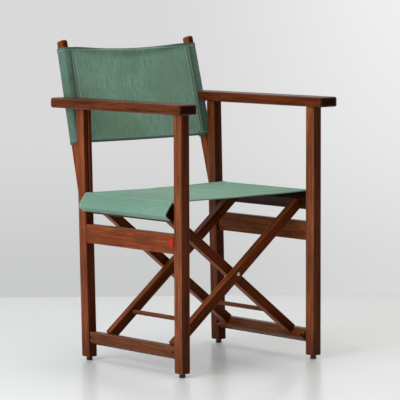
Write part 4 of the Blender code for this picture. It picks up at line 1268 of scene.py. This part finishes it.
# ================================================================ stage
WALL_SIZE = 40
FILM_WIDTH = 36             # in millimetres
LAMPS = [                   # name, place, size in metres, power in watts, colour
    ("window_left", (-3.4, -0.35, 1.45), 2.3, 80, (0.90, 1.0, 1.10)),
    ("ceiling", (0.15, -0.2, 3.4), 4.2, 67, (1.01, 0.99, 0.96)),
    ("room_fill", (-1.1, -3.9, 1.9), 2.0, 3, (1.0, 0.92, 0.8)),
    ("front_lamp", (-3.1, -1.65, 0.5), 0.9, 14, (1.0, 0.98, 0.95)),
]


def area_lamp(name, place, target, size, power, colour):
    """A square lamp that faces the target."""
    lamp = bpy.data.lights.new(name, "AREA")
    lamp.shape = "SQUARE"
    lamp.size = size
    lamp.energy = power
    lamp.color = colour
    obj = linked(name, lamp)
    obj.location = place
    obj.rotation_euler = (Vector(place) - target).to_track_quat("Z", "Y").to_euler()


def toward_camera():
    """Level direction from the chair to the camera."""
    azimuth = math.radians(settings("stage").azimuth)
    return Vector((math.sin(azimuth), -math.cos(azimuth), 0))


def seen_rays(tree):
    """1 for what the camera, a reflection or a refraction sees, 0 for light."""
    path = add(tree, "LightPath").outputs
    mirrored = add(tree, "Math", [path["Is Camera Ray"], path["Is Glossy Ray"]],
                   operation="MAXIMUM")
    return add(tree, "Math", [mirrored, path["Is Transmission Ray"]], operation="MAXIMUM")


def room_strength(tree, direction):
    """Brightness of the pale room: dim opposite the wall in reflections."""
    toward = add(tree, "VectorMath", [direction, toward_camera()], operation="DOT_PRODUCT")
    dim = add(tree, "MapRange", [toward.outputs["Value"], -0.5, 0.3, 0.0, 0.92], **SMOOTH)
    mirrored = add(tree, "LightPath").outputs["Is Glossy Ray"]
    dim = add(tree, "Math", [dim, mirrored], operation="MULTIPLY")
    return add(tree, "Math", [1.0, dim], operation="SUBTRACT")


def polished_floor():
    """Pale polished concrete: faintly cloudy, with soft reflections."""
    material, tree, shader = new_material("polished_pale_floor")
    colour = settings("stage").floor
    clouds = speckled(tree, 1 / 3, 4.0)
    set_shader(shader, IOR=1.33, Roughness=0.24,
               Base_Color=laid_over(tree, shade(colour), shade(colour, 0.985), clouds, 0.3, 0.7))
    # Far from the lamps the floor keeps the paleness it has near them.
    place = add(tree, "TexCoord").outputs["Object"]
    away = add(tree, "VectorMath", [place], operation="LENGTH").outputs["Value"]
    far = add(tree, "MapRange", [away, 1.9, 5.0], **SMOOTH)
    far = add(tree, "Math", [far, seen_rays(tree)], operation="MULTIPLY")
    direction = add(tree, "VectorMath", [place], operation="NORMALIZE")
    glow = add(tree, "Emission", {"Color": shade(settings("stage").wall),
                                  "Strength": room_strength(tree, direction)})
    whole = add(tree, "MixShader", [far, shader, glow])
    feed(tree.nodes["Material Output"].inputs["Surface"], whole)
    return material


def plain_wall():
    """Matt painted wall, brighter up and to the right; its far side is clear."""
    stage = settings("stage")
    material, tree, shader = new_material("matt_painted_wall")
    place = add(tree, "SeparateXYZ", [add(tree, "TexCoord").outputs["Object"]]).outputs
    height = add(tree, "Math", [place["Y"], WALL_SIZE / 2], operation="ADD")
    # Painted light and shade: the wall is painted darker at its foot and brighter up and to the
    # right, and glows with it.
    body = laid_over(tree, shade(stage.wall_foot_shade), shade(stage.wall), height, 0.0, 0.55)
    across = add(tree, "MapRange", [place["X"], -0.2, 0.75], **SMOOTH)
    up = add(tree, "MapRange", [height, 0.0, 1.1, 0.35, 0.9], **SMOOTH)
    painted_light = add(tree, "Math", [up, across], operation="MULTIPLY")
    body = add(tree, "Mix", {0: painted_light, 6: body, 7: shade(stage.wall_bright)}, data_type="RGBA")
    set_shader(shader, Base_Color=body, Roughness=0.9)
    glow = add(tree, "Emission", {"Color": body, "Strength": 1.0})
    seen = add(tree, "MixShader", [seen_rays(tree), shader, glow])
    behind = add(tree, "NewGeometry").outputs["Backfacing"]
    whole = add(tree, "MixShader", [behind, seen, add(tree, "BsdfTransparent")])
    feed(tree.nodes["Material Output"].inputs["Surface"], whole)
    return material


def pale_room():
    """Soft light from all round, and a pale room for what the camera and mirrors see."""
    world = bpy.data.worlds.new("pale_room")
    world.use_nodes = True
    tree = world.node_tree
    soft = tree.nodes["Background"]
    feed(soft.inputs["Color"], (1.0, 0.97, 0.91, 1.0))
    feed(soft.inputs["Strength"], 0.30)
    direction = add(tree, "TexCoord").outputs["Generated"]
    shown = add(tree, "Background", {"Color": shade(settings("stage").wall),
                                     "Strength": room_strength(tree, direction)})
    both = add(tree, "MixShader", [seen_rays(tree), soft, shown])
    feed(tree.nodes["World Output"].inputs["Surface"], both)
    return world


class CHAIR_OT_stage(bpy.types.Operator):
    """Lay the floor, set up the wall, the soft lamps and the camera"""
    bl_idname = "chair.stage"
    bl_label = "Set the stage"

    def execute(self, context):
        stage = settings("stage")
        scene = context.scene
        middle = sum(CAD_BOX, Vector()) / 2
        level = toward_camera()
        feet = (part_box("glide_front_right")[0].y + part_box("glide_rear_right")[1].y) / 2
        target = Vector((0, feet, stage.look_height))

        floor = primitive(bpy.ops.mesh.primitive_plane_add, "floor", size=WALL_SIZE)
        paint(floor, polished_floor())
        foot = target - level * stage.wall_distance
        wall = primitive(bpy.ops.mesh.primitive_plane_add, "wall", size=WALL_SIZE,
                         location=(foot.x, foot.y, WALL_SIZE / 2),
                         rotation=(math.radians(90), 0, math.radians(stage.azimuth)))
        paint(wall, plain_wall())

        for name, place, size, power, colour in LAMPS:
            area_lamp(name, place, middle, size, power, colour)
        # It would blot out the floor from the side.
        bpy.data.objects["window_left"].visible_glossy = False
        scene.world = pale_room()

        elevation = math.radians(stage.elevation)
        back = level * math.cos(elevation) + Vector((0, 0, math.sin(elevation)))
        lens = bpy.data.cameras.new("camera")
        lens.lens = stage.lens
        lens.sensor_width = FILM_WIDTH
        lens.clip_end = 100
        camera = linked("camera", lens)
        camera.location = target + back * stage.distance
        look = (-back).to_track_quat("-Z", "Y").to_matrix().to_4x4()
        roll = Matrix.Rotation(math.radians(stage.roll), 4, "Z")
        camera.rotation_euler = (look @ roll).to_euler()
        scene.camera = camera
        scene.view_settings.view_transform = "Standard"
        return {"FINISHED"}


# ================================================================ panel and main
OPERATORS = (CHAIR_OT_stage, CHAIR_OT_wood, CHAIR_OT_crossing_bolts, CHAIR_OT_pins,
             CHAIR_OT_feet, CHAIR_OT_red_tag, CHAIR_OT_seat_canvas, CHAIR_OT_back_sleeves,
             CHAIR_OT_back_canvas)


class CHAIR_PT_panel(bpy.types.Panel):
    """The chair's steps and settings"""
    bl_label = "Director's chair"
    bl_idname = "CHAIR_PT_panel"
    bl_space_type = "VIEW_3D"
    bl_region_type = "UI"
    bl_category = "Chair"

    def draw(self, context):
        for operator in OPERATORS:
            self.layout.operator(operator.bl_idname)
        for name, group in SETTINGS.items():
            box = self.layout.box()
            box.label(text=name.title())
            for prop in group.__annotations__:
                box.prop(settings(name), prop)


CLASSES = (*SETTINGS.values(), *OPERATORS, CHAIR_PT_panel)


def register():
    for cls in CLASSES:
        bpy.utils.register_class(cls)
    for name, group in SETTINGS.items():
        setattr(bpy.types.Scene, f"chair_{name}", PointerProperty(type=group))


def unregister():
    for name in SETTINGS:
        delattr(bpy.types.Scene, f"chair_{name}")
    for cls in reversed(CLASSES):
        bpy.utils.unregister_class(cls)


def main():
    register()
    bpy.ops.chair.stage()
    bpy.ops.chair.wood()
    bpy.ops.chair.crossing_bolts()
    bpy.ops.chair.pins()
    bpy.ops.chair.feet()
    bpy.ops.chair.red_tag()
    bpy.ops.chair.seat_canvas()
    bpy.ops.chair.back_sleeves()
    bpy.ops.chair.back_canvas()


if __name__ == "__main__":
    main()
